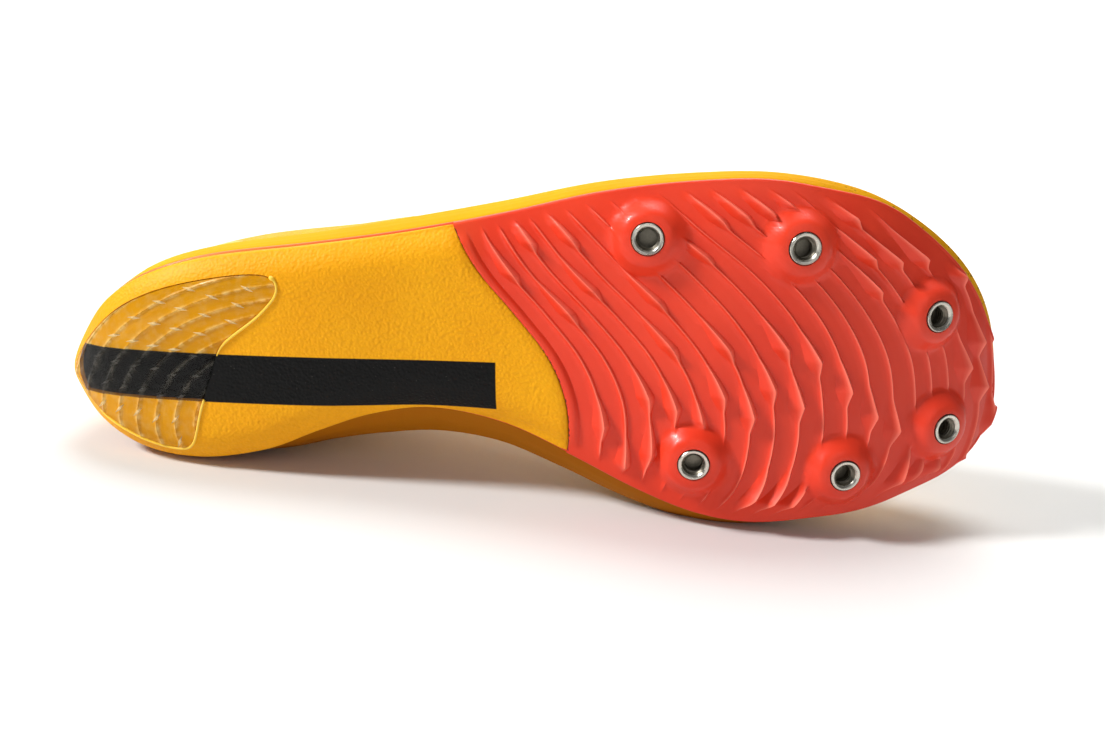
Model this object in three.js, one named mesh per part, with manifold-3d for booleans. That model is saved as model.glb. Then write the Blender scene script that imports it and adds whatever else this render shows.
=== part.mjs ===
// Track spike shoe for the right foot, lying on its medial side, in millimetres.
// Shoe frame: x runs from heel to toe, +y is the medial side, +z is up from the ground.
// The finished shoe is laid over, so that its medial sole edge and its collar rest on Z = 0.
import * as THREE from "three";
import { mergeVertices } from "three/addons/utils/BufferGeometryUtils.js";
import Module from "manifold-3d";

const wasm = await Module();
wasm.setup();

// Driving sizes
const soleLength = 280;
const ballWidth = 99.4;
const toeSpring = 29;
const collarHeight = 72;
const instepHeight = 97;
const heelStack = 22;
const forefootStack = 9.5;
const clearance = 0.3;

// Sole layers
const plateThickness = 2;
const plateSink = 0.8; // the plate's face lies this much above the heel pad's face
const padDepth = 6.4; // under the heel
const padFrontDepth = 2.2; // at the pad's front edge
const padFullAlong = 0.2; // the pad keeps its full depth up to this share of the length
const plateRampAlong = 0.08; // length over which the plate steps up over the pad, as a share
const padSetback = 1; // the plate's edge shows this much outside the pad
const padRoll = 3.2;
const padRollWidth = 9;
const soleRoll = 1.8;
const soleRollWidth = 13;
const midsoleLip = 1.2; // the widest line lies this much below the rim
const midsoleEdgeRound = 1;

// Upper
const vampWall = 1.6;
const heelWall = 3;
const paddingAlong = 0.25; // the padded wall thins out from this share of the length
const vampAlong = 0.45; // to this one
const upperSetback = 0.9; // the upper stands this far inside the foam's rim
const eyestayThickness = 0.9;
const eyestayWidth = 15;
const throatHalfWidth = 10;
const throatFront = 190;
const throatBack = 101;
const throatShift = 1.5; // the throat lies this far to the medial side of the sole's middle
const throatArcSteps = 12;
const throatSideSteps = 4;
const collarOverrun = 40; // the throat's cut runs on this far into the collar
const formDrop = 6; // cutting forms reach this far below the upper's base
const tongueThickness = 2.2;
const tongueHalfWidth = 20;
const tongueTop = 82;
const tongueOverrun = 10; // the tongue runs on this far past the front of the throat
const tongueTaper = 0.25;
const tongueSteps = 10;
const insoleThickness = 3;
const insoleEdgeRound = 0.6;

// Laces
const laceWidth = 5.2;
const laceThickness = 1.3;
const laceRows = 6;
const laceInset = 6; // from the throat's edge to the eyelet
const laceBackInset = 9; // from the top of the throat to the top eyelets

// Spike receptacles and their bosses
const receptacleRadius = 4.4;
const threadRadius = 2.8;
const countersinkRadius = 3.5;
const countersinkDepth = 0.9;
const rimProud = 0.35;
const bossRadius = 11;
const bossTopRadius = 5.6;
const bossHeight = 4.2;
const bossSides = 14;
const boreDepthShare = 0.9; // the blind thread's share of the receptacle's length
const receptacleSides = 14;

// Ribs of the forefoot plate
const ribPitch = 7.05;
const toeRibPitch = 5.4;
const ribHeight = 1;
const ribBase = 2.4;
const ribRoot = 0.6; // how deep a rib starts inside the plate
const ribMargin = 2.6; // ribs end this far inside the plate's edge
const thornHeight = 2.6;
const thornBase = 5.4;
const thornRun = 9; // how far a thorn takes to rise from its rib, across the plate
const thornFall = 3.6; // how quickly it falls again behind its tip
const thornSharpness = 1.3;
const ribEndHeight = 0.4;
const ribBorderAlong = 0.552; // the pad's front edge, as a share of the sole length

// Heel tread
const treadDepth = 2.6;
const treadProud = 0.2;
const treadSides = 32;

// Laying down
const floorBite = 0.6; // soft edges flatten this much where the shoe rests
const floorReach = 10; // places where it rests are at least this far apart

// The plate's edge seen from below, from the heel's back along the lateral side to the toe and
// back along the medial side. along is a share of the sole length, across and proud are shares
// of the ball width; proud is how far the foam and the upper stand outside the plate.
const edgeRows = [
  { along: 0, across: 0.06, proud: 0.011 }, // back of the heel
  { along: 0.025, across: -0.065, proud: 0.015 },
  { along: 0.057, across: -0.163, proud: 0.015 },
  { along: 0.104, across: -0.236, proud: 0.015 },
  { along: 0.171, across: -0.287, proud: 0.013 },
  { along: 0.275, across: -0.322, proud: 0.018 },
  { along: 0.375, across: -0.36, proud: 0.026 },
  { along: 0.475, across: -0.412, proud: 0.026 },
  { along: 0.575, across: -0.475, proud: 0.022 },
  { along: 0.671, across: -0.508, proud: 0.018 },
  { along: 0.754, across: -0.508, proud: 0.018 },
  { along: 0.836, across: -0.448, proud: 0.028 },
  { along: 0.9, across: -0.337, proud: 0.04 },
  { along: 0.951, across: -0.206, proud: 0.042 },
  { along: 0.984, across: -0.06, proud: 0.036 },
  { along: 1, across: 0.12, proud: 0.03, toe: true }, // tip of the toe
  { along: 0.996, across: 0.242, proud: 0.025 },
  { along: 0.965, across: 0.343, proud: 0.022 },
  { along: 0.9, across: 0.412, proud: 0.022 },
  { along: 0.821, across: 0.473, proud: 0.022 },
  { along: 0.743, across: 0.493, proud: 0.026 },
  { along: 0.679, across: 0.467, proud: 0.046 },
  { along: 0.614, across: 0.397, proud: 0.064 },
  { along: 0.546, across: 0.302, proud: 0.078 },
  { along: 0.475, across: 0.213, proud: 0.092 },
  { along: 0.4, across: 0.171, proud: 0.104 }, // waist under the arch
  { along: 0.336, across: 0.191, proud: 0.095 },
  { along: 0.279, across: 0.243, proud: 0.066 },
  { along: 0.221, across: 0.305, proud: 0.038 },
  { along: 0.15, across: 0.334, proud: 0.018 },
  { along: 0.086, across: 0.31, proud: 0.012 },
  { along: 0.036, across: 0.236, proud: 0.01 },
  { along: 0.009, across: 0.146, proud: 0.01 },
];

// Side view of the ground face: rise is a share of the toe spring.
const groundRows = [
  { along: 0, rise: 0.31 },
  { along: 0.054, rise: 0.121 },
  { along: 0.107, rise: 0.034 },
  { along: 0.179, rise: 0 },
  { along: 0.286, rise: 0.017 },
  { along: 0.393, rise: 0.086 },
  { along: 0.5, rise: 0.1 },
  { along: 0.59, rise: 0.048 },
  { along: 0.679, rise: 0 },
  { along: 0.732, rise: 0.007 },
  { along: 0.786, rise: 0.066 },
  { along: 0.857, rise: 0.225 },
  { along: 0.936, rise: 0.535 },
  { along: 0.982, rise: 0.776 },
  { along: 1, rise: 0.9 },
  { along: 1.03, rise: 1.05 },
];

// Height from the ground face to the foam's rim: 0 is the forefoot stack and 1 is the heel stack.
const stackRows = [
  { along: 0, stack: 1 },
  { along: 0.2, stack: 0.9 },
  { along: 0.4, stack: 0.66 },
  { along: 0.55, stack: 0.36 },
  { along: 0.68, stack: 0.1 },
  { along: 0.82, stack: 0 },
  { along: 1, stack: 0 },
];

// Centre line of the upper seen from the side, as a share of the instep height, and how boxy
// the section is there (2 is an ellipse).
const ridgeRows = [
  { along: 0, height: 1, boxy: 3.2 },
  { along: 0.2, height: 1.03, boxy: 3.3 },
  { along: 0.32, height: 1.02, boxy: 2.4 },
  { along: 0.42, height: 0.94, boxy: 2.0 },
  { along: 0.54, height: 0.79, boxy: 2.0 },
  { along: 0.63, height: 0.675, boxy: 2.1 },
  { along: 0.72, height: 0.59, boxy: 2.3 },
  { along: 0.8, height: 0.55, boxy: 2.5 },
  { along: 0.87, height: 0.53, boxy: 2.7 },
  { along: 1, height: 0.53, boxy: 2.7 },
];
const ridgeBack = 0.1; // the sections fan round the heel from this share of the length
const ridgeFront = 0.865; // and round the toe from this one

// Top line seen from the side: height is a share of the collar height.
const collarRows = [
  { along: -0.2, height: 1.02 },
  { along: 0.0, height: 1.0 },
  { along: 0.05, height: 0.97 },
  { along: 0.12, height: 0.84 },
  { along: 0.2, height: 0.79 },
  { along: 0.25, height: 0.84 },
  { along: 0.3, height: 0.97 },
  { along: 0.34, height: 1.13 },
  { along: 0.37, height: 1.29 },
  { along: 0.4, height: 1.48 },
];

// How far each key rib runs back from its crest, in shares of the ball width, at nine places
// across the plate from the lateral edge (-0.5) to the medial edge (0.5).
const ribAcross = [-0.5, -0.375, -0.25, -0.125, 0, 0.125, 0.25, 0.375, 0.5];
const ribRows = [
  { rib: 0, back: [0.37, 0.33, 0.262, 0.158, 0.062, 0.011, 0.001, 0.02, 0.06] },
  { rib: 5, back: [0.53, 0.41, 0.297, 0.17, 0.066, 0.01, 0.001, 0.026, 0.1] },
  { rib: 10, back: [0.52, 0.372, 0.218, 0.104, 0.034, 0.006, 0.002, 0.042, 0.17] },
  { rib: 15, back: [0.48, 0.33, 0.196, 0.098, 0.032, 0.006, 0.002, 0.046, 0.19] },
  { rib: 19, back: [0.45, 0.3, 0.15, 0.06, 0.02, 0.004, 0.002, 0.05, 0.2] },
];
const toeRibRow = 14; // the ribs of the toe follow this one

// Section of a rib, as shares of its half width and its height: 0 is its root.
const ribSection = [
  { forward: -1, rise: 0 },
  { forward: 0.2, rise: 1 },
  { forward: 0.7, rise: 0 },
];

// Where thorns stand on each rib, as across-places in shares of the ball width.
const thornRows = [
  { rib: 1, across: [-0.24, 0.2] },
  { rib: 2, across: [-0.13, 0.32] },
  { rib: 3, across: [-0.33, 0.11, 0.28] },
  { rib: 4, across: [-0.2, 0.14] },
  { rib: 5, across: [-0.34, -0.04, 0.2] },
  { rib: 6, across: [-0.17, 0.1] },
  { rib: 7, across: [-0.04, 0.16] },
  { rib: 8, across: [0.08, 0.41] },
  { rib: 9, across: [-0.3, -0.04, 0.13, 0.42] },
  { rib: 10, across: [0.0, 0.43] },
  { rib: 11, across: [-0.4, 0.09] },
  { rib: 12, across: [-0.41, 0.17] },
  { rib: 13, across: [-0.42, 0.22] },
  { rib: 14, across: [-0.41, -0.2, 0.38] },
  { rib: 15, across: [-0.29, 0.39] },
  { rib: 16, across: [-0.4, -0.28, 0.37] },
  { rib: 17, across: [-0.28, 0.05] },
  { rib: 18, across: [-0.22, 0.08] },
];

// Receptacle places, as shares of the sole length and the ball width.
const receptacleRows = [
  { name: "lateral_rear", along: 0.622, across: -0.351 },
  { name: "lateral_middle", along: 0.772, across: -0.328 },
  { name: "lateral_front", along: 0.914, across: -0.12 },
  { name: "medial_front", along: 0.934, across: 0.222 },
  { name: "medial_middle", along: 0.826, across: 0.334 },
  { name: "medial_rear", along: 0.673, across: 0.296 },
];

// Slope of a boss, as shares of its width outside the flat top and of its height.
const bossSlope = [
  { inward: 0.35, rise: 0.4 },
  { inward: 0.65, rise: 0.85 },
  { inward: 1, rise: 1 },
];

// Outline of the clear heel tread, as shares of the sole length and the ball width.
const treadRows = [
  { along: 0.008, across: 0.05 },
  { along: 0.035, across: -0.045 },
  { along: 0.075, across: -0.135 },
  { along: 0.125, across: -0.195 },
  { along: 0.19, across: -0.232 },
  { along: 0.235, across: -0.235 },
  { along: 0.245, across: -0.19 },
  { along: 0.225, across: -0.12 },
  { along: 0.185, across: -0.03 },
  { along: 0.172, across: 0.06 },
  { along: 0.158, across: 0.16 },
  { along: 0.145, across: 0.27 },
  { along: 0.125, across: 0.292 },
  { along: 0.085, across: 0.262 },
  { along: 0.04, across: 0.195 },
  { along: 0.014, across: 0.12 },
];

// Side wall of the midsole: out is a share of how far it stands outside the plate, and up is a
// share of the height from the plate to the lip.
const midsoleWall = [
  { out: 0.5, up: 0.4 },
  { out: 1, up: 1 },
];

const ringCount = 48;
const halfRing = ringCount / 2;
const borderSteps = 16;
const collarSteps = 30;
const formSteps = 7;
const turnWeight = 45; // millimetres of edge that one radian of turning counts for

// Smooth value of one column of a table that is sorted by its key.
function smoothColumn(rows, key, column, at) {
  const last = rows.length - 1;
  if (at <= rows[0][key]) return rows[0][column];
  if (at >= rows[last][key]) return rows[last][column];
  let i = 0;
  while (at > rows[i + 1][key]) i += 1;
  const slope = (a, b) => (rows[b][column] - rows[a][column]) / (rows[b][key] - rows[a][key]);
  const tangent = (j) => slope(Math.max(j - 1, 0), Math.min(j + 1, last));
  const width = rows[i + 1][key] - rows[i][key];
  const t = (at - rows[i][key]) / width;
  const rest = 1 - t;
  return (
    (1 + 2 * t) * rest * rest * rows[i][column] +
    t * rest * rest * width * tangent(i) +
    t * t * (3 - 2 * t) * rows[i + 1][column] -
    t * t * rest * width * tangent(i + 1)
  );
}

// Smooth value of one column of a closed table at t, counted in rows.
function loopColumn(rows, column, t) {
  const n = rows.length;
  const i = Math.floor(t);
  const s = t - i;
  const at = (j) => rows[(((i + j) % n) + n) % n][column];
  return (
    at(0) +
    0.5 * s * (at(1) - at(-1) +
      s * (2 * at(-1) - 5 * at(0) + 4 * at(1) - at(2) +
        s * (3 * (at(0) - at(1)) + at(2) - at(-1))))
  );
}

const clamp = THREE.MathUtils.clamp;
const smoothstep = THREE.MathUtils.smoothstep;

// One stretch of the sole's edge, in steps that are shorter where it turns more.
function edgeStretch(from, to, steps) {
  const fine = 240;
  const raw = [];
  for (let k = 0; k <= fine; k += 1) {
    raw.push(edgeAt(from + ((to - from) * k) / fine));
  }
  const reach = [0];
  for (let k = 1; k <= fine; k += 1) {
    const [a, b] = [raw[k - 1], raw[k]];
    const turn = Math.hypot(b.outX - a.outX, b.outY - a.outY);
    reach.push(reach[k - 1] + Math.hypot(b.x - a.x, b.y - a.y) + turn * turnWeight);
  }
  const out = [];
  let k = 0;
  for (let step = 0; step < steps; step += 1) {
    const goal = (reach[fine] * step) / steps;
    while (reach[k + 1] < goal) k += 1;
    const share = (goal - reach[k]) / (reach[k + 1] - reach[k]);
    out.push(edgeAt(from + ((to - from) * (k + share)) / fine));
  }
  return out;
}

// Place and outward direction of a closed table's outline at t, counted in rows.
function outlineAt(rows, t) {
  const step = 0.02;
  const x = (s) => loopColumn(rows, "along", s) * soleLength;
  const y = (s) => loopColumn(rows, "across", s) * ballWidth;
  const dx = x(t + step) - x(t - step);
  const dy = y(t + step) - y(t - step);
  const run = Math.hypot(dx, dy);
  return { x: x(t), y: y(t), outX: dy / run, outY: -dx / run };
}

const edgeAt = (t) => ({
  ...outlineAt(edgeRows, t),
  proud: loopColumn(edgeRows, "proud", t) * ballWidth,
});

const toeRow = edgeRows.findIndex((row) => row.toe);
const edge = [
  ...edgeStretch(0, toeRow, halfRing),
  ...edgeStretch(toeRow, edgeRows.length, halfRing),
];

// The centre line that each edge point looks to: points that face each other share one.
const ridge = edge.map((point, i) => {
  const mate = edge[(ringCount - i) % ringCount];
  const x = (point.x + mate.x) / 2;
  const back = ridgeBack * soleLength;
  const front = ridgeFront * soleLength;
  return { x: clamp(x, back, front), y: 0, along: x / soleLength };
});
ridge.forEach((centre) => {
  centre.y = centreAcross(centre.x);
});

// Middle of the sole at x.
function centreAcross(x) {
  const [lateral, medial] = sidesAt(x);
  return (lateral + medial) / 2;
}

// Across-places of the sole's lateral and medial edges at x.
function sidesAt(x) {
  return [edge.slice(0, halfRing + 1), [...edge.slice(halfRing), edge[0]].reverse()].map((side) => {
    let i = 0;
    while (i < side.length - 2 && side[i + 1].x < x) i += 1;
    const share = clamp((x - side[i].x) / (side[i + 1].x - side[i].x), 0, 1);
    return side[i].y + (side[i + 1].y - side[i].y) * share;
  });
}

// Distance from a point of the sole to its edge.
function inFromEdge(x, y) {
  let best = Infinity;
  edge.forEach((a, i) => {
    const b = edge[(i + 1) % ringCount];
    const run = (b.x - a.x) ** 2 + (b.y - a.y) ** 2;
    const share = clamp(((x - a.x) * (b.x - a.x) + (y - a.y) * (b.y - a.y)) / run, 0, 1);
    const far = Math.hypot(x - a.x - (b.x - a.x) * share, y - a.y - (b.y - a.y) * share);
    best = Math.min(best, far);
  });
  return best;
}

const rollUp = (x, y, height, width) => height * Math.max(0, 1 - inFromEdge(x, y) / width) ** 2;
const groundLine = (x) => smoothColumn(groundRows, "along", "rise", x / soleLength) * toeSpring;

function ground(x, y) {
  return groundLine(x) + rollUp(x, y, soleRoll, soleRollWidth);
}

function featherLine(x) {
  const share = smoothColumn(stackRows, "along", "stack", x / soleLength);
  return groundLine(x) + forefootStack + (heelStack - forefootStack) * share;
}

const ridgeLine = (x) => smoothColumn(ridgeRows, "along", "height", x / soleLength) * instepHeight;
const boxiness = (x) => smoothColumn(ridgeRows, "along", "boxy", x / soleLength);

// Place along the shoe of a rib's middle line, at an across-place in millimetres.
function ribAlong(rib, y) {
  const wide = Math.min(rib, toeRibRow);
  const crest = ribBorderAlong * soleLength + ribPitch * wide + toeRibPitch * (rib - wide);
  const share = clamp(y / ballWidth, ribAcross[0], ribAcross.at(-1));
  const rows = ribRows.map((row) => ({
    rib: row.rib,
    back: smoothColumn(
      ribAcross.map((across, i) => ({ across, back: row.back[i] })),
      "across",
      "back",
      share,
    ),
  }));
  return crest - smoothColumn(rows, "rib", "back", rib) * ballWidth;
}

// The pad's front edge is the first rib's rear side.
const borderAlong = (y) => ribAlong(0, y) - ribBase;

// The plate's lower face in the forefoot, the floor of the pocket that takes the heel pad, and
// the plate's upper face, which rises ahead of the pocket to keep the plate's thickness.
const plateUnder = (x, y) => ground(x, y) + plateSink;
const pocketDepth = (x) =>
  padFrontDepth +
  (padDepth - padFrontDepth) * (1 - smoothstep(x / soleLength, padFullAlong, ribBorderAlong));
const pocketFloor = (x, y) => ground(x, y) + pocketDepth(x);

function plateOver(x, y) {
  const lifted = 1 - smoothstep(x / soleLength, ribBorderAlong, ribBorderAlong + plateRampAlong);
  const depth = plateSink + (pocketDepth(x) - plateSink) * lifted;
  return ground(x, y) + depth + plateThickness;
}

// Turns rings of points, from a lower centre line out to the side and in to an upper one, into
// a solid. Facing points of the first and last ring fall together and close it. From ring
// crossed on, each facet is split along its other diagonal, so that the upper face of one
// layer and the lower face of the next are split alike.
function loft(rings, crossed = Infinity) {
  const count = rings[0].length;
  const corners = [];
  const put = (...points) => points.forEach((p) => corners.push(p.x, p.y, p.z));
  for (let k = 0; k + 1 < rings.length; k += 1) {
    for (let i = 0; i < count; i += 1) {
      const j = (i + 1) % count;
      const [a, b, c, d] = [rings[k][i], rings[k][j], rings[k + 1][j], rings[k + 1][i]];
      if (k < crossed) put(a, b, c, a, c, d);
      else put(a, b, d, b, c, d);
    }
  }
  const geometry = new THREE.BufferGeometry();
  geometry.setAttribute("position", new THREE.Float32BufferAttribute(corners, 3));
  return solid(geometry);
}

// A closed three.js geometry as a solid that can be cut and joined.
function solid(source) {
  const bare = source.index ? source.toNonIndexed() : source.clone();
  bare.deleteAttribute("normal");
  bare.deleteAttribute("uv");
  const merged = mergeVertices(bare, 1e-4);
  const index = merged.index.array;
  const kept = [];
  for (let i = 0; i < index.length; i += 3) {
    const [a, b, c] = [index[i], index[i + 1], index[i + 2]];
    if (a !== b && b !== c && c !== a) kept.push(a, b, c);
  }
  return new wasm.Manifold(
    new wasm.Mesh({
      numProp: 3,
      vertProperties: new Float32Array(merged.attributes.position.array),
      triVerts: new Uint32Array(kept),
    }),
  );
}

// A ring of points at a share of the way from the centre line to the edge moved out by offset.
function ringAt(share, offset, height) {
  return edge.map((point, i) => {
    const out = typeof offset === "function" ? offset(point, i) : offset;
    const x = ridge[i].x + (point.x + point.outX * out - ridge[i].x) * share;
    const y = ridge[i].y + (point.y + point.outY * out - ridge[i].y) * share;
    return new THREE.Vector3(x, y, height(x, y, i));
  });
}

const sheetShares = [0, 0.5, 0.82, 1];
const padShares = [0, 0.42, 0.72, 0.88, 1];

// A layer of the sole between two height functions, with its edge moved out by offset.
function layer(under, over, offset, shares) {
  return loft(
    [
      ...shares.map((share) => ringAt(share, offset, under)),
      ...[...shares].reverse().map((share) => ringAt(share, offset, over)),
    ],
    shares.length,
  );
}

// A prism of a plan outline, tall enough to cut the whole shoe.
function planPrism(points) {
  const shape = new THREE.Shape(points.map((p) => new THREE.Vector2(p.x, p.y)));
  const tall = 2 * instepHeight;
  const geometry = new THREE.ExtrudeGeometry(shape, { depth: tall, bevelEnabled: false });
  geometry.translate(0, 0, -tall / 2);
  return solid(geometry);
}

// A closed outline through a table's places, moved out by offset.
function closedCurve(rows, offset, count) {
  const smooth = [];
  for (let k = 0; k < count; k += 1) {
    const point = outlineAt(rows, (k * rows.length) / count);
    smooth.push({ x: point.x + point.outX * offset, y: point.y + point.outY * offset });
  }
  return smooth;
}

// Outward direction of the ground face at a point, and the point itself.
function plateFrame(row) {
  const x = row.along * soleLength;
  const y = row.across * ballWidth;
  const reach = bossTopRadius;
  const riseX = plateUnder(x + reach, y) - plateUnder(x - reach, y);
  const riseY = plateUnder(x, y + reach) - plateUnder(x, y - reach);
  const alongX = new THREE.Vector3(2 * reach, 0, riseX);
  const alongY = new THREE.Vector3(0, 2 * reach, riseY);
  const down = alongY.cross(alongX).normalize();
  const turn = new THREE.Quaternion().setFromUnitVectors(new THREE.Vector3(0, 0, 1), down);
  return new THREE.Matrix4().compose(
    new THREE.Vector3(x, y, plateUnder(x, y)),
    turn,
    new THREE.Vector3(1, 1, 1),
  );
}

// A turned piece standing on the plate's face, its axis pointing out of the sole.
function turned(profile, row, sides) {
  const points = profile.map(([radius, height]) => new THREE.Vector2(radius, height));
  const geometry = new THREE.LatheGeometry(points, sides);
  geometry.rotateX(Math.PI / 2);
  geometry.applyMatrix4(plateFrame(row));
  return solid(geometry);
}

function boss(row) {
  const slope = bossSlope.map(({ inward, rise }) => [
    bossRadius - (bossRadius - bossTopRadius) * inward,
    bossHeight * rise,
  ]);
  return turned(
    [
      [0, -plateThickness / 2],
      [bossRadius, -plateThickness / 2],
      ...slope,
      [0, bossHeight],
    ],
    row,
    bossSides,
  );
}

function bossBore(row) {
  const radius = receptacleRadius + clearance;
  return turned(
    [
      [0, -2 * plateThickness],
      [radius, -2 * plateThickness],
      [radius, 2 * bossHeight],
      [0, 2 * bossHeight],
    ],
    row,
    receptacleSides,
  );
}

function receptacle(row) {
  const top = bossHeight + rimProud;
  const bottom = -plateThickness + clearance;
  const depth = (top - bottom) * boreDepthShare;
  return turned(
    [
      [0, bottom],
      [receptacleRadius, bottom],
      [receptacleRadius, top],
      [countersinkRadius, top],
      [threadRadius, top - countersinkDepth],
      [threadRadius, top - depth],
      [0, top - depth],
    ],
    row,
    receptacleSides,
  );
}

const thornPlaces = (number) => thornRows.find((row) => row.rib === number)?.across ?? [];

// How far a rib has swelled into a thorn at an across-place: 0 on the plain rib, 1 at a tip.
function thornShare(number, y) {
  const shares = thornPlaces(number).map((across) => {
    const past = y - across * ballWidth;
    return past < 0 ? 1 + past / thornRun : 1 - past / thornFall;
  });
  return clamp(Math.max(0, ...shares), 0, 1) ** thornSharpness;
}

// The across-places between which a rib lies on the plate, if it does.
function ribSpan(number) {
  const inside = (y) => {
    const x = ribAlong(number, y);
    const [lateral, medial] = sidesAt(x);
    const fits = y > lateral + ribMargin && y < medial - ribMargin;
    return fits && x < soleLength - ribMargin;
  };
  const fine = [];
  for (let y = -ballWidth / 2; y <= ballWidth / 2; y += ribMargin / 2) fine.push(y);
  return [fine.find(inside), fine.findLast(inside)];
}

const ribFits = ([first, last]) => last - first > 2 * ribMargin;

// One rib of the plate: a low ridge of triangular section that swells into thorns.
function rib(number) {
  const [first, last] = ribSpan(number);
  const tips = thornPlaces(number).map((across) => across * ballWidth);
  const wanted = [
    first,
    last,
    ...ribAcross.map((across) => across * ballWidth),
    ...tips.flatMap((y) => [y - thornRun, y, y + thornFall]),
  ];
  const key = (y) => tips.includes(y) || y === first || y === last;
  const near = thornFall * 0.99;
  const crowded = (y) => wanted.some((other) => key(other) && Math.abs(other - y) < near);
  const places = wanted
    .filter((y) => y >= first && y <= last && (key(y) || !crowded(y)))
    .sort((a, b) => a - b)
    .filter((y, i, all) => i === 0 || y - all[i - 1] > thornFall / 4);
  const rings = places.map((y, i) => {
    const x = ribAlong(number, y);
    const thorn = thornShare(number, y);
    const end = i === 0 || i === places.length - 1;
    const height = end ? ribEndHeight : ribHeight + (thornHeight - ribHeight) * thorn;
    const half = (ribBase + (thornBase - ribBase) * thorn) / 2;
    return ribSection.map(({ forward, rise }) => {
      const cornerX = x + half * forward;
      const lift = rise > 0 ? height * rise : -ribRoot;
      return new THREE.Vector3(cornerX, y, plateUnder(cornerX, y) - lift);
    });
  });
  return sweep(rings);
}

// A solid through small rings of points, closed flat at both ends.
function sweep(rings) {
  const count = rings[0].length;
  const corners = [];
  const put = (...points) => points.forEach((p) => corners.push(p.x, p.y, p.z));
  for (let k = 0; k + 1 < rings.length; k += 1) {
    for (let i = 0; i < count; i += 1) {
      const j = (i + 1) % count;
      put(rings[k][i], rings[k][j], rings[k + 1][j]);
      put(rings[k][i], rings[k + 1][j], rings[k + 1][i]);
    }
  }
  const [start, end] = [rings[0], rings.at(-1)];
  for (let i = 1; i + 1 < count; i += 1) {
    put(start[0], start[i + 1], start[i]);
    put(end[0], end[i], end[i + 1]);
  }
  const geometry = new THREE.BufferGeometry();
  geometry.setAttribute("position", new THREE.Float32BufferAttribute(corners, 3));
  const made = solid(geometry);
  return made.volume() < 0 ? flipped(geometry) : made;
}

function flipped(geometry) {
  const position = geometry.attributes.position;
  const turnedRound = [];
  for (let i = 0; i < position.count; i += 3) {
    [i, i + 2, i + 1].forEach((j) => {
      turnedRound.push(position.getX(j), position.getY(j), position.getZ(j));
    });
  }
  const out = new THREE.BufferGeometry();
  out.setAttribute("position", new THREE.Float32BufferAttribute(turnedRound, 3));
  return solid(out);
}

const joined = (solids) => wasm.Manifold.union(solids);

function makePlate() {
  const ribs = [];
  for (let number = 0; ribFits(ribSpan(number)); number += 1) ribs.push(rib(number));
  const sheet = layer(plateUnder, plateOver, 0, sheetShares);
  const below = (x, y) => ground(x, y) - padDepth;
  const pocket = layer(below, pocketFloor, clearance, padShares);
  const body = sheet.subtract(pocket.intersect(padArea(0)));
  const raised = joined([body, ...ribs, ...receptacleRows.map(boss)]);
  return raised.subtract(joined(receptacleRows.map(bossBore)));
}

function makeMidsole() {
  const under = (x, y) => plateOver(x, y) + clearance;
  const wall = midsoleWall.map(({ out, up }) =>
    ringAt(1, (point) => point.proud * out, (x, y, i) => {
      const foot = plateOver(edge[i].x, edge[i].y) + clearance;
      return foot + (featherLine(edge[i].x) - midsoleLip - foot) * up;
    }),
  );
  const inner = (point) => point.proud - midsoleEdgeRound;
  return loft([
    ...sheetShares.map((share) => ringAt(share, -clearance, under)),
    ...wall,
    ringAt(1, inner, featherLine),
    ...[...sheetShares].reverse().slice(1).map((share) => ringAt(share, inner, featherLine)),
  ]);
}

// The area behind the border, moved back by setback.
function padArea(setback) {
  const reach = ballWidth;
  const front = [];
  for (let step = 0; step <= borderSteps; step += 1) {
    const y = (step / borderSteps - 0.5) * ballWidth;
    front.push({ x: borderAlong(y) - setback, y });
  }
  return planPrism([{ x: -reach, y: -reach }, { x: front[0].x, y: -reach }, ...front,
    { x: front.at(-1).x, y: reach }, { x: -reach, y: reach }]);
}

const padUnder = (x, y) => ground(x, y) + rollUp(x, y, padRoll, padRollWidth);

function makePad() {
  const over = (x, y) => pocketFloor(x, y) - clearance;
  const low = (x, y) => Math.min(padUnder(x, y), over(x, y) - clearance);
  const body = layer(low, over, -padSetback, padShares).intersect(padArea(clearance * 2));
  const below = (x, y) => ground(x, y) - padDepth;
  const floor = (x, y) => ground(x, y) + treadDepth + clearance;
  const pocket = layer(below, floor, padSetback, padShares);
  return body.subtract(pocket.intersect(planPrism(closedCurve(treadRows, 0, treadSides))));
}

function makeTread() {
  const under = (x, y) => ground(x, y) - treadProud + rollUp(x, y, padRoll * 0.5, padRollWidth);
  const over = (x, y) => ground(x, y) + treadDepth;
  const body = layer(under, over, padSetback, padShares);
  return body.intersect(planPrism(closedCurve(treadRows, -clearance, treadSides)));
}

// Wall thickness of the upper along the shoe: padded at the heel, thin over the toes.
const wallAt = (x) =>
  vampWall + (heelWall - vampWall) * (1 - smoothstep(x / soleLength, paddingAlong, vampAlong));

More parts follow.
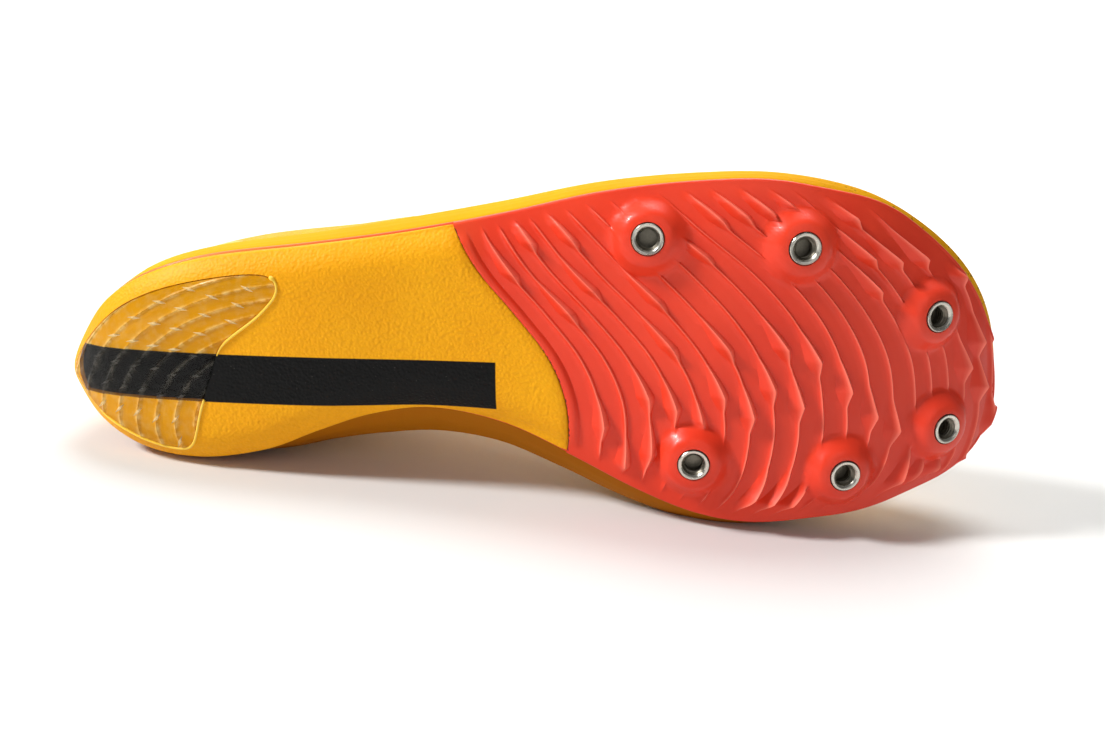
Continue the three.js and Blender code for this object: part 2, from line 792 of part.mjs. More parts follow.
// The closed form of the upper, moved in by inset(x), standing on its base line.
function upperForm(inset, drop, steps) {
  const outline = (point) => point.proud - upperSetback - inset(point.x);
  const baseLine = (x) => featherLine(x) + clearance;
  const rings = [ringAt(0, outline, (x) => baseLine(x) - drop)];
  if (drop > 0) rings.push(ringAt(1, outline, (x) => baseLine(x) - drop));
  for (let k = 0; k <= steps; k += 1) {
    const turn = (k / steps) * (Math.PI / 2);
    rings.push(
      edge.map((point, i) => {
        const power = 2 / boxiness(ridge[i].along * soleLength);
        const inward = Math.cos(turn) ** power;
        const upward = k === steps ? 1 : Math.sin(turn) ** power;
        const out = outline(point);
        const baseX = point.x + point.outX * out;
        const baseY = point.y + point.outY * out;
        const share = k === steps ? 0 : inward;
        const low = baseLine(baseX);
        const high = ridgeLine(ridge[i].x) - inset(ridge[i].x);
        return new THREE.Vector3(
          ridge[i].x + (baseX - ridge[i].x) * share,
          ridge[i].y + (baseY - ridge[i].y) * share,
          low + (high - low) * upward,
        );
      }),
    );
  }
  return loft(rings);
}

// Everything above the top line, as a prism across the shoe.
function aboveCollar() {
  const line = [];
  const [start, end] = [collarRows[0].along, collarRows.at(-1).along];
  for (let step = 0; step <= collarSteps; step += 1) {
    const along = start + ((end - start) * step) / collarSteps;
    const height = smoothColumn(collarRows, "along", "height", along) * collarHeight;
    line.push(new THREE.Vector2(along * soleLength, height));
  }
  const top = 2 * instepHeight;
  const shape = new THREE.Shape([
    ...line,
    new THREE.Vector2(line.at(-1).x, top),
    new THREE.Vector2(line[0].x, top),
  ]);
  const wide = 2 * ballWidth;
  const geometry = new THREE.ExtrudeGeometry(shape, { depth: wide, bevelEnabled: false });
  geometry.rotateX(Math.PI / 2);
  geometry.translate(0, wide / 2, 0);
  return solid(geometry);
}

// A plan outline round the throat, moved out by offset, with a round front.
function throatOutline(offset, back) {
  const half = throatHalfWidth + offset;
  const front = throatFront - throatHalfWidth;
  const points = [];
  for (let k = 0; k <= throatArcSteps; k += 1) {
    const turn = -Math.PI / 2 + (Math.PI * k) / throatArcSteps;
    const x = front + Math.cos(turn) * half;
    points.push({ x, y: throatCentre(x) + Math.sin(turn) * half });
  }
  const stations = [];
  for (let k = 0; k < throatSideSteps; k += 1) {
    stations.push(back + ((front - back) * k) / throatSideSteps);
  }
  return [
    ...stations.map((x) => ({ x, y: throatCentre(x) - half })),
    ...points,
    ...stations.map((x) => ({ x, y: throatCentre(x) + half })).reverse(),
  ];
}

const throatCentre = (x) => centreAcross(clamp(x, throatBack, throatFront)) + throatShift;

const throatCut = () => planPrism(throatOutline(0, throatBack - collarOverrun));

function makeUpper() {
  const outer = upperForm(() => 0, 0, formSteps);
  const inner = upperForm(wallAt, formDrop, formSteps);
  return outer.subtract(inner).subtract(aboveCollar()).subtract(throatCut());
}

// A sheet that lies on the upper's form, lift(x) above it, within a plan outline.
function onForm(lift, thickness, plan) {
  const outer = upperForm((x) => -lift(x) - thickness, 0, formSteps);
  const inner = upperForm((x) => -lift(x), 2 * formDrop, formSteps);
  return outer.subtract(inner).intersect(plan);
}

function makeEyestay() {
  const band = planPrism(throatOutline(eyestayWidth, throatBack));
  const whole = onForm(() => clearance, eyestayThickness, band);
  return whole.subtract(aboveCollar()).subtract(throatCut());
}

function makeTongue() {
  const outline = [];
  for (let k = 0; k <= tongueSteps; k += 1) {
    const share = k / tongueSteps;
    const x = tongueTop + (throatFront + tongueOverrun - tongueTop) * share;
    const half = tongueHalfWidth * (1 - tongueTaper * share);
    outline.push({ x, y: throatCentre(x) - half, mate: throatCentre(x) + half });
  }
  const area = planPrism([
    ...outline,
    ...[...outline].reverse().map((p) => ({ x: p.x, y: p.mate })),
  ]);
  const lift = (x) => -wallAt(x) - clearance - tongueThickness;
  return onForm(lift, tongueThickness, area);
}

function makeInsole() {
  const offset = (point) => point.proud - upperSetback - wallAt(point.x) - clearance;
  const under = (x) => featherLine(x) + clearance;
  const over = (x) => featherLine(x) + clearance + insoleThickness;
  return loft([
    ringAt(0, offset, under),
    ringAt(1, offset, under),
    ringAt(1, (point) => offset(point) - insoleEdgeRound, over),
    ringAt(0, offset, over),
  ]);
}

// Plan outline of one straight run of flat lace.
function laceRun(from, to) {
  const along = new THREE.Vector2(to.x - from.x, to.y - from.y).normalize();
  const side = new THREE.Vector2(-along.y, along.x).multiplyScalar(laceWidth / 2);
  const corner = (point, sign) => ({ x: point.x + side.x * sign, y: point.y + side.y * sign });
  return planPrism([corner(from, -1), corner(to, -1), corner(to, 1), corner(from, 1)]);
}

// Criss-cross lacing from the lowest pair of eyelets to the top pair, where the ends stop.
function makeLace() {
  const first = throatFront - throatHalfWidth - laceInset;
  const last = throatBack + laceBackInset;
  const eyelet = (row, side) => {
    const x = first + ((last - first) * row) / (laceRows - 1);
    return { x, y: throatCentre(x) + side * (throatHalfWidth + laceInset) };
  };
  const runs = [laceRun(eyelet(0, -1), eyelet(0, 1))];
  for (let row = 0; row + 1 < laceRows; row += 1) {
    runs.push(laceRun(eyelet(row, -1), eyelet(row + 1, 1)));
    runs.push(laceRun(eyelet(row, 1), eyelet(row + 1, -1)));
  }
  const lift = 2 * clearance + eyestayThickness;
  return onForm(() => lift, laceThickness, joined(runs));
}

const colours = {
  mesh: { color: 0xf6b800, roughness: 0.75, metalness: 0 },
  foam: { color: 0xf4ae06, roughness: 0.6, metalness: 0 },
  plate: { color: 0xe8402c, roughness: 0.4, metalness: 0 },
  pad: { color: 0xeda40a, roughness: 0.65, metalness: 0 },
  tread: { color: 0xd9a648, roughness: 0.3, metalness: 0 },
  steel: { color: 0xb9b6ae, roughness: 0.3, metalness: 1 },
  lace: { color: 0x1b1a18, roughness: 0.8, metalness: 0 },
  lining: { color: 0x242220, roughness: 0.85, metalness: 0 },
};

const pieces = [
  ["plate", makePlate(), colours.plate],
  ["heel_pad", makePad(), colours.pad],
  ["heel_tread", makeTread(), colours.tread],
  ["midsole", makeMidsole(), colours.foam],
  ["insole", makeInsole(), colours.lining],
  ["upper", makeUpper(), colours.mesh],
  ["eyestay", makeEyestay(), colours.mesh],
  ["tongue", makeTongue(), colours.mesh],
  ["lace", makeLace(), colours.lace],
  ...receptacleRows.map((row) => [`receptacle_${row.name}`, receptacle(row), colours.steel]),
];

function corners(part) {
  const mesh = part.getMesh();
  const out = [];
  for (let i = 0; i < mesh.numVert; i += 1) {
    out.push(new THREE.Vector3().fromArray(mesh.vertProperties, i * mesh.numProp));
  }
  return out;
}

// The plane that the shoe lies on: it touches the medial side at the ball, at the sole's edge
// under the heel and at the collar. Each step turns it about what it touches until it meets
// more.
function restingPlane(points) {
  const ball = points.reduce((a, b) => (b.y > a.y ? b : a));
  const turnTo = (reference, axisPoint, axis, chosen) => {
    const flat = new THREE.Vector3().crossVectors(axis, reference).normalize();
    let best = null;
    let least = Infinity;
    chosen.forEach((p) => {
      const from = new THREE.Vector3().subVectors(p, axisPoint);
      const reach = from.dot(flat);
      if (reach < floorReach) return;
      const angle = Math.atan2(-from.dot(reference), reach);
      if (angle < least) {
        least = angle;
        best = p;
      }
    });
    return { normal: reference.clone().applyAxisAngle(axis, least), best };
  };
  const medial = new THREE.Vector3(0, 1, 0);
  const upright = new THREE.Vector3(0, 0, 1);
  const heelEdge = points.filter((p) => p.x < soleLength / 3 && p.z < heelStack);
  const heel = turnTo(medial, ball, upright, heelEdge);
  const edgeAxis = new THREE.Vector3().subVectors(ball, heel.best).normalize();
  const square = heel.normal.clone().addScaledVector(edgeAxis, -heel.normal.dot(edgeAxis));
  const collar = turnTo(square.normalize(), ball, edgeAxis, points);
  return { ball, heel: heel.best, collar: collar.best, normal: collar.normal.normalize() };
}

const everyCorner = pieces.flatMap(([, part]) => corners(part));
const rest = restingPlane(everyCorner);

// Laid down, the resting side faces down and the heel-to-ball line runs along X.
function layingTurn() {
  const down = rest.normal;
  const along = new THREE.Vector3().subVectors(rest.ball, rest.heel);
  along.addScaledVector(down, -along.dot(down)).normalize();
  const up = down.clone().negate();
  const across = new THREE.Vector3().crossVectors(up, along);
  const basis = new THREE.Matrix4().makeBasis(along, across, up);
  return basis.transpose();
}

const laying = layingTurn();
const floorLevel = rest.ball.clone().applyMatrix4(laying).z + floorBite;

function belowFloor() {
  const size = 3 * soleLength;
  const geometry = new THREE.BoxGeometry(size, size, size);
  geometry.translate(0, 0, floorLevel - size / 2);
  geometry.applyMatrix4(laying.clone().invert());
  return solid(geometry);
}

const floorCut = belowFloor();
const shoe = new THREE.Group();
const box = new THREE.Box3();

pieces.forEach(([name, part, look]) => {
  const trimmed = part.subtract(floorCut);
  const mesh = trimmed.getMesh();
  const geometry = new THREE.BufferGeometry();
  geometry.setAttribute("position", new THREE.Float32BufferAttribute(mesh.vertProperties, 3));
  geometry.setIndex(Array.from(mesh.triVerts));
  geometry.applyMatrix4(laying);
  geometry.computeBoundingBox();
  box.union(geometry.boundingBox);
  geometry.computeVertexNormals();
  const node = new THREE.Mesh(geometry, new THREE.MeshStandardMaterial(look));
  node.name = name;
  shoe.add(node);
});

const middle = box.getCenter(new THREE.Vector3());
shoe.position.set(-middle.x, -middle.y, -floorLevel);

export default shoe;
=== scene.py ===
import math

import bmesh
import bpy
import numpy as np
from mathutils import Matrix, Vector
from mathutils.bvhtree import BVHTree
from mathutils.kdtree import KDTree


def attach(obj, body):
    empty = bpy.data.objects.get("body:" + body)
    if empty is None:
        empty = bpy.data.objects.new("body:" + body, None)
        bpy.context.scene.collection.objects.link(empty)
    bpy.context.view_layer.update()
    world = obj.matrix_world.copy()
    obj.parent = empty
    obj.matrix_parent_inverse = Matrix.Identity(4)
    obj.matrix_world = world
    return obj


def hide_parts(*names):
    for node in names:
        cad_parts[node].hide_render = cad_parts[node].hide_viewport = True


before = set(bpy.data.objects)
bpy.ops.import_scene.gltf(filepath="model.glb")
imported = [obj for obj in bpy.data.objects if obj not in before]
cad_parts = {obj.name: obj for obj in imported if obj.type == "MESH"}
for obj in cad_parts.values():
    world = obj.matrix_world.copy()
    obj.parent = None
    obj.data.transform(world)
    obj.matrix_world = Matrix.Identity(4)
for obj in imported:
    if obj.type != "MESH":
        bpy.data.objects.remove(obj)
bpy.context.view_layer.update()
print("frame loaded")

# Shoe frame in millimetres: x runs from heel to toe, +y is the medial side, +z is up from the
# ground. The rows of layDown turn it into the shoe lying on its medial side.
layDown = np.array([
    [0.9915676, 0.1077124, -0.0720540, -138.33695],
    [0.0760056, -0.0330372, 0.9965599, -53.31872],
    [0.1049614, -0.9936330, -0.0409454, 30.49256],
])
floorSkin = 0.02  # what touches the floor stays this far above it

last = {
    "length": 280.0,
    "ballWidth": 99.4,
    "toeSpring": 29.0,
    "collarHeight": 72.0,
    "instepHeight": 97.0,
    "heelStack": 22.0,
    "forefootStack": 9.5,
    "clearance": 0.3,
    "ringCount": 288,
    "turnWeight": 45.0,
}
clearance = last["clearance"]
soleLength = last["length"]
ballWidth = last["ballWidth"]


def toRow(points):
    placed = points @ layDown[:, :3].T + layDown[:, 3]
    placed[:, 2] = np.maximum(placed[:, 2], floorSkin)
    return placed / 1000


def toShoe(points):
    return (points * 1000 - layDown[:, 3]) @ layDown[:, :3]


# The plate's edge: along, across, and how far foam and upper stand outside it (proud).
edgeRows = np.array([
    [0, 0.06, 0.011], [0.025, -0.065, 0.015], [0.057, -0.163, 0.015], [0.104, -0.236, 0.015],
    [0.171, -0.287, 0.013], [0.275, -0.322, 0.018], [0.375, -0.36, 0.026], [0.475, -0.412, 0.026],
    [0.575, -0.475, 0.022], [0.671, -0.508, 0.018], [0.754, -0.508, 0.018], [0.836, -0.448, 0.028],
    [0.9, -0.337, 0.04], [0.951, -0.206, 0.042], [0.984, -0.06, 0.036], [1, 0.12, 0.03],
    [0.996, 0.242, 0.025], [0.965, 0.343, 0.022], [0.9, 0.412, 0.022], [0.821, 0.473, 0.022],
    [0.743, 0.493, 0.026], [0.679, 0.467, 0.046], [0.614, 0.397, 0.064], [0.546, 0.302, 0.078],
    [0.475, 0.213, 0.092], [0.4, 0.171, 0.104], [0.336, 0.191, 0.095], [0.279, 0.243, 0.066],
    [0.221, 0.305, 0.038], [0.15, 0.334, 0.018], [0.086, 0.31, 0.012], [0.036, 0.236, 0.01],
    [0.009, 0.146, 0.01],
])
toeRow = 15
groundRows = np.array([
    [0, 0.31], [0.054, 0.121], [0.107, 0.034], [0.179, 0], [0.286, 0.017], [0.393, 0.086],
    [0.5, 0.1], [0.59, 0.048], [0.679, 0], [0.732, 0.007], [0.786, 0.066], [0.857, 0.225],
    [0.936, 0.535], [0.982, 0.776], [1, 0.9], [1.03, 1.05],
])
stackRows = np.array([[0, 1], [0.2, 0.9], [0.4, 0.66], [0.55, 0.36], [0.68, 0.1], [0.82, 0], [1, 0]])
# Centre line of the upper from the side: along, height, and how boxy the section is.
ridgeRows = np.array([
    [0, 1, 3.2], [0.2, 1.03, 3.3], [0.32, 1.02, 2.4], [0.42, 0.94, 2.0], [0.54, 0.79, 2.0],
    [0.63, 0.675, 2.1], [0.72, 0.59, 2.3], [0.8, 0.55, 2.5], [0.87, 0.53, 2.7], [1, 0.53, 2.7],
])
ridgeBack, ridgeFront = 0.1, 0.865
collarRows = np.array([
    [-0.2, 1.02], [0.0, 1.0], [0.05, 0.97], [0.12, 0.84], [0.2, 0.79], [0.25, 0.84], [0.3, 0.97],
    [0.34, 1.13], [0.37, 1.29], [0.4, 1.48],
])


def smoothColumn(keys, values, at):
    keys, values, at = (np.asarray(a, float) for a in (keys, values, at))
    count = len(keys)
    ahead = np.minimum(np.arange(count) + 1, count - 1)
    behind = np.maximum(np.arange(count) - 1, 0)
    spread = (keys[ahead] - keys[behind]).reshape((-1,) + (1,) * (values.ndim - 1))
    tangents = (values[ahead] - values[behind]) / spread
    i = np.clip(np.searchsorted(keys, at, side="right") - 1, 0, count - 2)
    width = keys[i + 1] - keys[i]
    t = np.clip((at - keys[i]) / width, 0, 1)
    rest = 1 - t

    def pick(table, j):
        return table[j] if values.ndim == 1 else np.take_along_axis(table, j[None], 0)[0]

    return (
        (1 + 2 * t) * rest * rest * pick(values, i)
        + t * rest * rest * width * pick(tangents, i)
        + t * t * (3 - 2 * t) * pick(values, i + 1)
        - t * t * rest * width * pick(tangents, i + 1)
    )


def loopValues(rows, t):
    count = len(rows)
    i = np.floor(t).astype(int)
    s = (t - i)[:, None]
    a, b, c, d = (rows[(i + j) % count] for j in (-1, 0, 1, 2))
    return b + 0.5 * s * (c - a + s * (2 * a - 5 * b + 4 * c - d + s * (3 * (b - c) + d - a)))


def outlinePlaces(rows, t):
    step = 0.02
    size = np.array([soleLength, ballWidth])
    place = loopValues(rows, t)
    run = (loopValues(rows, t + step)[:, :2] - loopValues(rows, t - step)[:, :2]) * size
    run /= np.linalg.norm(run, axis=1)[:, None]
    outward = np.stack([run[:, 1], -run[:, 0]], 1)
    return place[:, :2] * size, outward, place[:, 2:] * ballWidth


def smoothstep(at, low, high):
    t = np.clip((at - low) / (high - low), 0, 1)
    return t * t * (3 - 2 * t)


def edgeStretch(start, end, steps):
    fine = np.linspace(start, end, 961)
    place, outward, _ = outlinePlaces(edgeRows, fine)
    turn = np.linalg.norm(np.diff(outward, axis=0), axis=1)
    step = np.linalg.norm(np.diff(place, axis=0), axis=1) + turn * turn * last["turnWeight"] * 4
    reach = np.concatenate([[0], np.cumsum(step)])
    return np.interp(reach[-1] * np.arange(steps) / steps, reach, fine)


half = last["ringCount"] // 2
ringTurns = np.concatenate([
    edgeStretch(0, toeRow, half),
    edgeStretch(toeRow, len(edgeRows), half),
])
ring, ringOut, ringProud = outlinePlaces(edgeRows, ringTurns)
ringProud = ringProud[:, 0]
mates = (-np.arange(len(ring))) % len(ring)

ringNext = np.roll(ring, -1, axis=0)
ringLength = np.concatenate([[0], np.cumsum(np.linalg.norm(ringNext - ring, axis=1))])
ringTotal = ringLength[-1]
lateralSide = ring[: half + 1]
medialSide = np.concatenate([ring[half:], ring[:1]])[::-1]


def sidesAt(x):
    sides = []
    for side in (lateralSide, medialSide):
        sides.append(np.interp(x, np.maximum.accumulate(side[:, 0]), side[:, 1]))
    return sides


def centreAcross(x):
    lateral, medial = sidesAt(x)
    return (lateral + medial) / 2


ridgeX = np.clip((ring[:, 0] + ring[mates, 0]) / 2, ridgeBack * soleLength, ridgeFront * soleLength)
ridgeY = centreAcross(ridgeX)
ridgeAlong = (ring[:, 0] + ring[mates, 0]) / 2 / soleLength


# Distance from points to the plate's edge, the way to it, and the place along the edge.
def toEdge(x, y):
    shape = x.shape
    points = np.stack([x.ravel(), y.ravel()], 1)
    far, away, place = [], [], []
    run = ringNext - ring
    size = (run**2).sum(1)
    for block in np.array_split(points, max(1, len(points) // 6000)):  # in blocks, to save memory
        start = block[:, None] - ring[None]
        share = np.clip((start * run).sum(2) / size, 0, 1)
        offset = start - run * share[..., None]
        distance = (offset**2).sum(2)
        best = distance.argmin(1)
        rows = np.arange(len(block))
        nearest = np.sqrt(distance[rows, best])
        far.append(nearest)
        away.append(offset[rows, best] / np.maximum(nearest, 1e-6)[:, None])
        lengths = ringLength[best] + share[rows, best] * np.sqrt(size[best])
        place.append(lengths)
    return (
        np.concatenate(far).reshape(shape),
        np.concatenate(away).reshape(shape + (2,)),
        np.concatenate(place).reshape(shape),
    )


def isInside(x, y):
    lateral, medial = sidesAt(x)
    return (y > lateral) & (y < medial) & (x > ring[:, 0].min()) & (x < ring[:, 0].max())


def onRing(place):
    place = np.mod(place, ringTotal)
    closed = np.concatenate([ring, ring[:1]])
    outs = np.concatenate([ringOut, ringOut[:1]])
    both = [np.interp(place, ringLength, column) for column in (*closed.T, *outs.T)]
    outward = np.stack(both[2:], -1)
    outward /= np.linalg.norm(outward, axis=-1, keepdims=True)
    return np.stack(both[:2], -1), outward


sole = {
    "plateThickness": 2.0,
    "plateSink": 0.8,
    "padDepth": 6.4,
    "padFrontDepth": 2.2,
    "padFullAlong": 0.2,
    "plateRampAlong": 0.08,
    "padSetback": 1.0,
    "padRoll": 3.2,
    "padRollWidth": 9.0,
    "soleRoll": 1.8,
    "soleRollWidth": 13.0,
    "ribBorderAlong": 0.552,
    "ribPitch": 7.05,
    "toeRibPitch": 5.4,
    "toeRibRow": 14,
    "straightRows": (-14, -1),
    "toeRows": (15.5, 21),
    "ribBase": 2.4,
}


def groundLine(x):
    return smoothColumn(groundRows[:, 0], groundRows[:, 1], x / soleLength) * last["toeSpring"]


def rollUp(far, height, width):
    return height * np.maximum(0, 1 - far / width) ** 2


def groundAt(x, far):
    return groundLine(x) + rollUp(far, sole["soleRoll"], sole["soleRollWidth"])


def featherLine(x):
    share = smoothColumn(stackRows[:, 0], stackRows[:, 1], x / soleLength)
    stack = last["forefootStack"] + (last["heelStack"] - last["forefootStack"]) * share
    return groundLine(x) + stack


def pocketDepth(x):
    full = 1 - smoothstep(x / soleLength, sole["padFullAlong"], sole["ribBorderAlong"])
    return sole["padFrontDepth"] + (sole["padDepth"] - sole["padFrontDepth"]) * full


def plateOverAt(x, far):
    start = sole["ribBorderAlong"]
    lifted = 1 - smoothstep(x / soleLength, start, start + sole["plateRampAlong"])
    depth = sole["plateSink"] + (pocketDepth(x) - sole["plateSink"]) * lifted
    return groundAt(x, far) + depth + sole["plateThickness"]


ribAcross = np.array([-0.5, -0.375, -0.25, -0.125, 0, 0.125, 0.25, 0.375, 0.5])
ribKeys = np.array([0, 5, 10, 15, 19])
ribBack = np.array([
    [0.37, 0.33, 0.262, 0.158, 0.062, 0.011, 0.001, 0.02, 0.06],
    [0.53, 0.41, 0.297, 0.17, 0.066, 0.01, 0.001, 0.026, 0.1],
    [0.52, 0.372, 0.218, 0.104, 0.034, 0.006, 0.002, 0.042, 0.17],
    [0.48, 0.33, 0.196, 0.098, 0.032, 0.006, 0.002, 0.046, 0.19],
    [0.45, 0.3, 0.15, 0.06, 0.02, 0.004, 0.002, 0.05, 0.2],
])


def ribAlong(rib, y):
    rib, y = np.broadcast_arrays(np.asarray(rib, float), np.asarray(y, float))
    wide = np.minimum(rib, sole["toeRibRow"])
    crest = sole["ribBorderAlong"] * soleLength + sole["ribPitch"] * wide
    crest = crest + sole["toeRibPitch"] * (rib - wide)
    share = np.clip(y / ballWidth, -0.5, 0.5)
    back = np.stack([smoothColumn(ribAcross, row, share) for row in ribBack])
    # Behind the pad's border the rows run straight across. Round the toe they flatten, so that
    # they still cross the edge on the lateral side.
    bent = smoothstep(rib, *sole["straightRows"])
    bent = bent * (1 - 0.5 * smoothstep(rib, *sole["toeRows"]) * smoothstep(-share, 0, 0.15))
    return crest - smoothColumn(ribKeys, back, rib) * ballWidth * bent


def linear(code):
    channels = [int(code[i : i + 2], 16) / 255 for i in (1, 3, 5)]
    return tuple(c / 12.92 if c <= 0.04045 else ((c + 0.055) / 1.055) ** 2.4 for c in channels) + (1.0,)


# Adds a node with its settings, and with its sockets linked or set. Gives the output asked for.
def addNode(tree, kind, sockets=None, output=0, **settings):
    node = tree.nodes.new(kind)
    for key, value in settings.items():
        setattr(node, key, value)
    for socket, value in (sockets or {}).items():
        for part in value if isinstance(value, list) else [value]:
            if isinstance(part, bpy.types.NodeSocket):
                tree.links.new(part, node.inputs[socket])
            else:
                node.inputs[socket].default_value = part
    return node.outputs if output is None else node.outputs[output]


# An empty material with its grains: noises on Object coordinates, each a size in mm and a detail.
def newMaterial(name, grains):
    made = bpy.data.materials.new(name)
    made.use_nodes = True
    tree = made.node_tree
    tree.nodes.clear()
    where = addNode(tree, "ShaderNodeTexCoord", output="Object")
    noises = []
    for size, detail in grains:
        sockets = {"Vector": where, "Scale": 1000 / size, "Detail": detail}
        noises.append(addNode(tree, "ShaderNodeTexNoise", sockets))
    return made, tree, where, noises


# Paints tones over a first one. A row says what the tone's share follows, between which two values,
# how much of it there is at most, and the tone.
def paintOver(tree, tint, rows):
    for source, low, high, most, tone in rows:
        share = addNode(tree, "ShaderNodeMapRange", {0: source, 1: low, 2: high, 4: most})
        sockets = {0: share, 6: tint, 7: linear(tone) if isinstance(tone, str) else tone}
        tint = addNode(tree, "ShaderNodeMix", sockets, 2, data_type="RGBA")
    return tint


# Ends a material: relief lays bumps over each other, each with its height and its depth in mm.
def finishMaterial(made, tint, relief, sockets):
    tree = made.node_tree
    under = {}
    for height, depth in relief:
        bumped = {"Height": height, "Distance": depth / 1000, **under}
        under = {"Normal": addNode(tree, "ShaderNodeBump", bumped)}
    shader = addNode(tree, "ShaderNodeBsdfPrincipled", {"Base Color": tint, **under, **sockets})
    addNode(tree, "ShaderNodeOutputMaterial", {"Surface": shader}, None)
    return made


# The shoe's own axes in mm, as its pieces keep them: forward, across and up.
def shoeAxes(tree):
    spot = addNode(tree, "ShaderNodeAttribute", output="Vector", attribute_name="shoe")
    return addNode(tree, "ShaderNodeSeparateXYZ", {0: spot}, None)


def addObject(name, data):
    made = bpy.data.objects.new(name, data)
    bpy.context.scene.collection.objects.link(made)
    return made


def makePiece(name, points, faces, materials, slots=None, angle=None):
    mesh = bpy.data.meshes.new(name)
    mesh.from_pydata(toRow(np.asarray(points, float)), [], faces)
    for material in materials:
        mesh.materials.append(material)
    if slots is not None:
        mesh.polygons.foreach_set("material_index", slots)
    piece = addObject(name, mesh)
    weld(piece)
    shade(piece, angle)
    return piece


def weld(piece, reach=2e-6):
    work = bmesh.new()
    work.from_mesh(piece.data)
    bmesh.ops.remove_doubles(work, verts=work.verts, dist=reach)
    loose = [v for v in work.verts if not v.link_faces]
    bmesh.ops.delete(work, geom=loose, context="VERTS")
    work.to_mesh(piece.data)
    work.free()


def outwardFaces(piece):
    work = bmesh.new()
    work.from_mesh(piece.data)
    bmesh.ops.recalc_face_normals(work, faces=work.faces)
    work.to_mesh(piece.data)
    work.free()


def shoePlaces(piece):
    places = np.zeros(len(piece.data.vertices) * 3, np.float32)
    piece.data.vertices.foreach_get("co", places)
    return toShoe(places.reshape(-1, 3).astype(float))


# Keeps a number or a place at each point of a piece, for its material or its nodes to read.
def keepOnPoints(mesh, name, values):
    values = np.asarray(values, np.float32)
    kind, key = ("FLOAT", "value") if values.ndim == 1 else ("FLOAT_VECTOR", "vector")
    if name in mesh.attributes:
        mesh.attributes.remove(mesh.attributes[name])
    mesh.attributes.new(name, kind, "POINT").data.foreach_set(key, values.ravel())


def shade(piece, angle=None):
    mesh = piece.data
    mesh.polygons.foreach_set("use_smooth", [True] * len(mesh.polygons))
    if angle is not None:
        mesh.set_sharp_from_angle(angle=math.radians(angle))
    keepOnPoints(mesh, "shoe", shoePlaces(piece))


def settle(piece):
    made = piece.evaluated_get(bpy.context.evaluated_depsgraph_get())
    mesh = bpy.data.meshes.new_from_object(made)
    piece.modifiers.clear()
    piece.data = mesh


def cutWith(piece, tool, operation="DIFFERENCE", angle=30):
    materials = list(piece.data.materials)
    cut = piece.modifiers.new("cut", "BOOLEAN")
    cut.operation = operation
    cut.solver = "MANIFOLD"
    cut.object = tool
    settle(piece)
    slots = [min(face.material_index, len(materials) - 1) for face in piece.data.polygons]
    giveMaterials(piece, materials, slots)
    bpy.data.objects.remove(tool)
    shade(piece, angle)


# Clearing the list of materials sets every face back to the first one, so the slots come last.
def giveMaterials(piece, materials, slots):
    piece.data.materials.clear()
    for material in materials:
        piece.data.materials.append(material)
    piece.data.polygons.foreach_set("material_index", slots)


def prism(outline, low, high):
    count = len(outline)
    points = [(x, y, z) for z in (low, high) for x, y in outline]
    faces = [list(range(count))[::-1], list(range(count, 2 * count))]
    for i in range(count):
        j = (i + 1) % count
        faces.append([i, j, j + count, i + count])
    return points, faces


# A plain mesh to cut with, not held above the floor.
def rawMesh(name, points, faces):
    mesh = bpy.data.meshes.new(name)
    placed = np.asarray(points, float) @ layDown[:, :3].T + layDown[:, 3]
    mesh.from_pydata(placed / 1000, [], faces)
    tool = addObject(name, mesh)
    outwardFaces(tool)
    return tool


# One list of points and one of faces from several of each.
def gather(parts):
    points, faces = [], []
    for own, quads in parts:
        faces += [[v + len(points) for v in quad] for quad in quads]
        points += np.asarray(own).tolist()
    return points, faces


def gridQuads(index):
    corners = [index[:-1, :-1], index[:-1, 1:], index[1:, 1:], index[1:, :-1]]
    return np.stack(corners, -1).reshape(-1, 4)


def gridLoop(index):
    return np.concatenate([index[:, 0], index[-1, 1:], index[-2::-1, -1], index[0, -2:0:-1]])


# A closed layer from a grid of its ground face: rows run forward and columns across. profile
# lists steps round its edge as (out in mm, share of the way up to the upper face).
def pillow(face, over, outward, profile, sparse=6):
    rows, columns = face.shape[:2]
    index = np.arange(rows * columns).reshape(rows, columns)
    loop = gridLoop(index)
    flat = face.reshape(-1, 3)
    upper = flat.copy()
    upper[:, 2] = over.ravel()
    rim = flat[loop]
    rise = upper[loop, 2] - rim[:, 2]
    rings = []
    for out, up in profile:
        step = rim.copy()
        step[:, :2] += outward * out
        step[:, 2] += rise * up
        rings.append(step)
    points = np.concatenate([flat, upper, *rings])
    faces = gridQuads(index).tolist()
    start = 2 * len(flat)
    bands = [loop] + [np.arange(len(loop)) + start + k * len(loop) for k in range(len(rings))]
    bands.append(loop + len(flat))
    for inner, outer in zip(bands, bands[1:]):
        faces += np.stack([inner, np.roll(inner, -1), np.roll(outer, -1), outer], -1).tolist()
    keptRows = sorted({*range(0, rows, sparse), rows - 1})
    keptColumns = sorted({*range(0, columns, sparse), columns - 1})
    top = index + len(flat)
    for a, b in zip(keptRows, keptRows[1:]):
        for c, d in zip(keptColumns, keptColumns[1:]):
            walk = list(top[a:b, c]) if c == 0 else [top[a, c]]
            walk += list(top[b, c:d]) if b == rows - 1 else [top[b, c]]
            walk += list(top[b:a:-1, d]) if d == columns - 1 else [top[b, d]]
            walk += list(top[a, d:c:-1]) if a == 0 else [top[a, d]]
            faces.append([int(v) for v in walk])
    return points, faces


acrossFine = np.linspace(-54, 54, 433)


# How far inside the edge points are, below zero outside it, and the way out.
def insideBy(x, y):
    far, away, _ = toEdge(x, y)
    inside = np.where(isInside(x, y), 1.0, -1.0)
    return far * inside, away * inside[..., None]


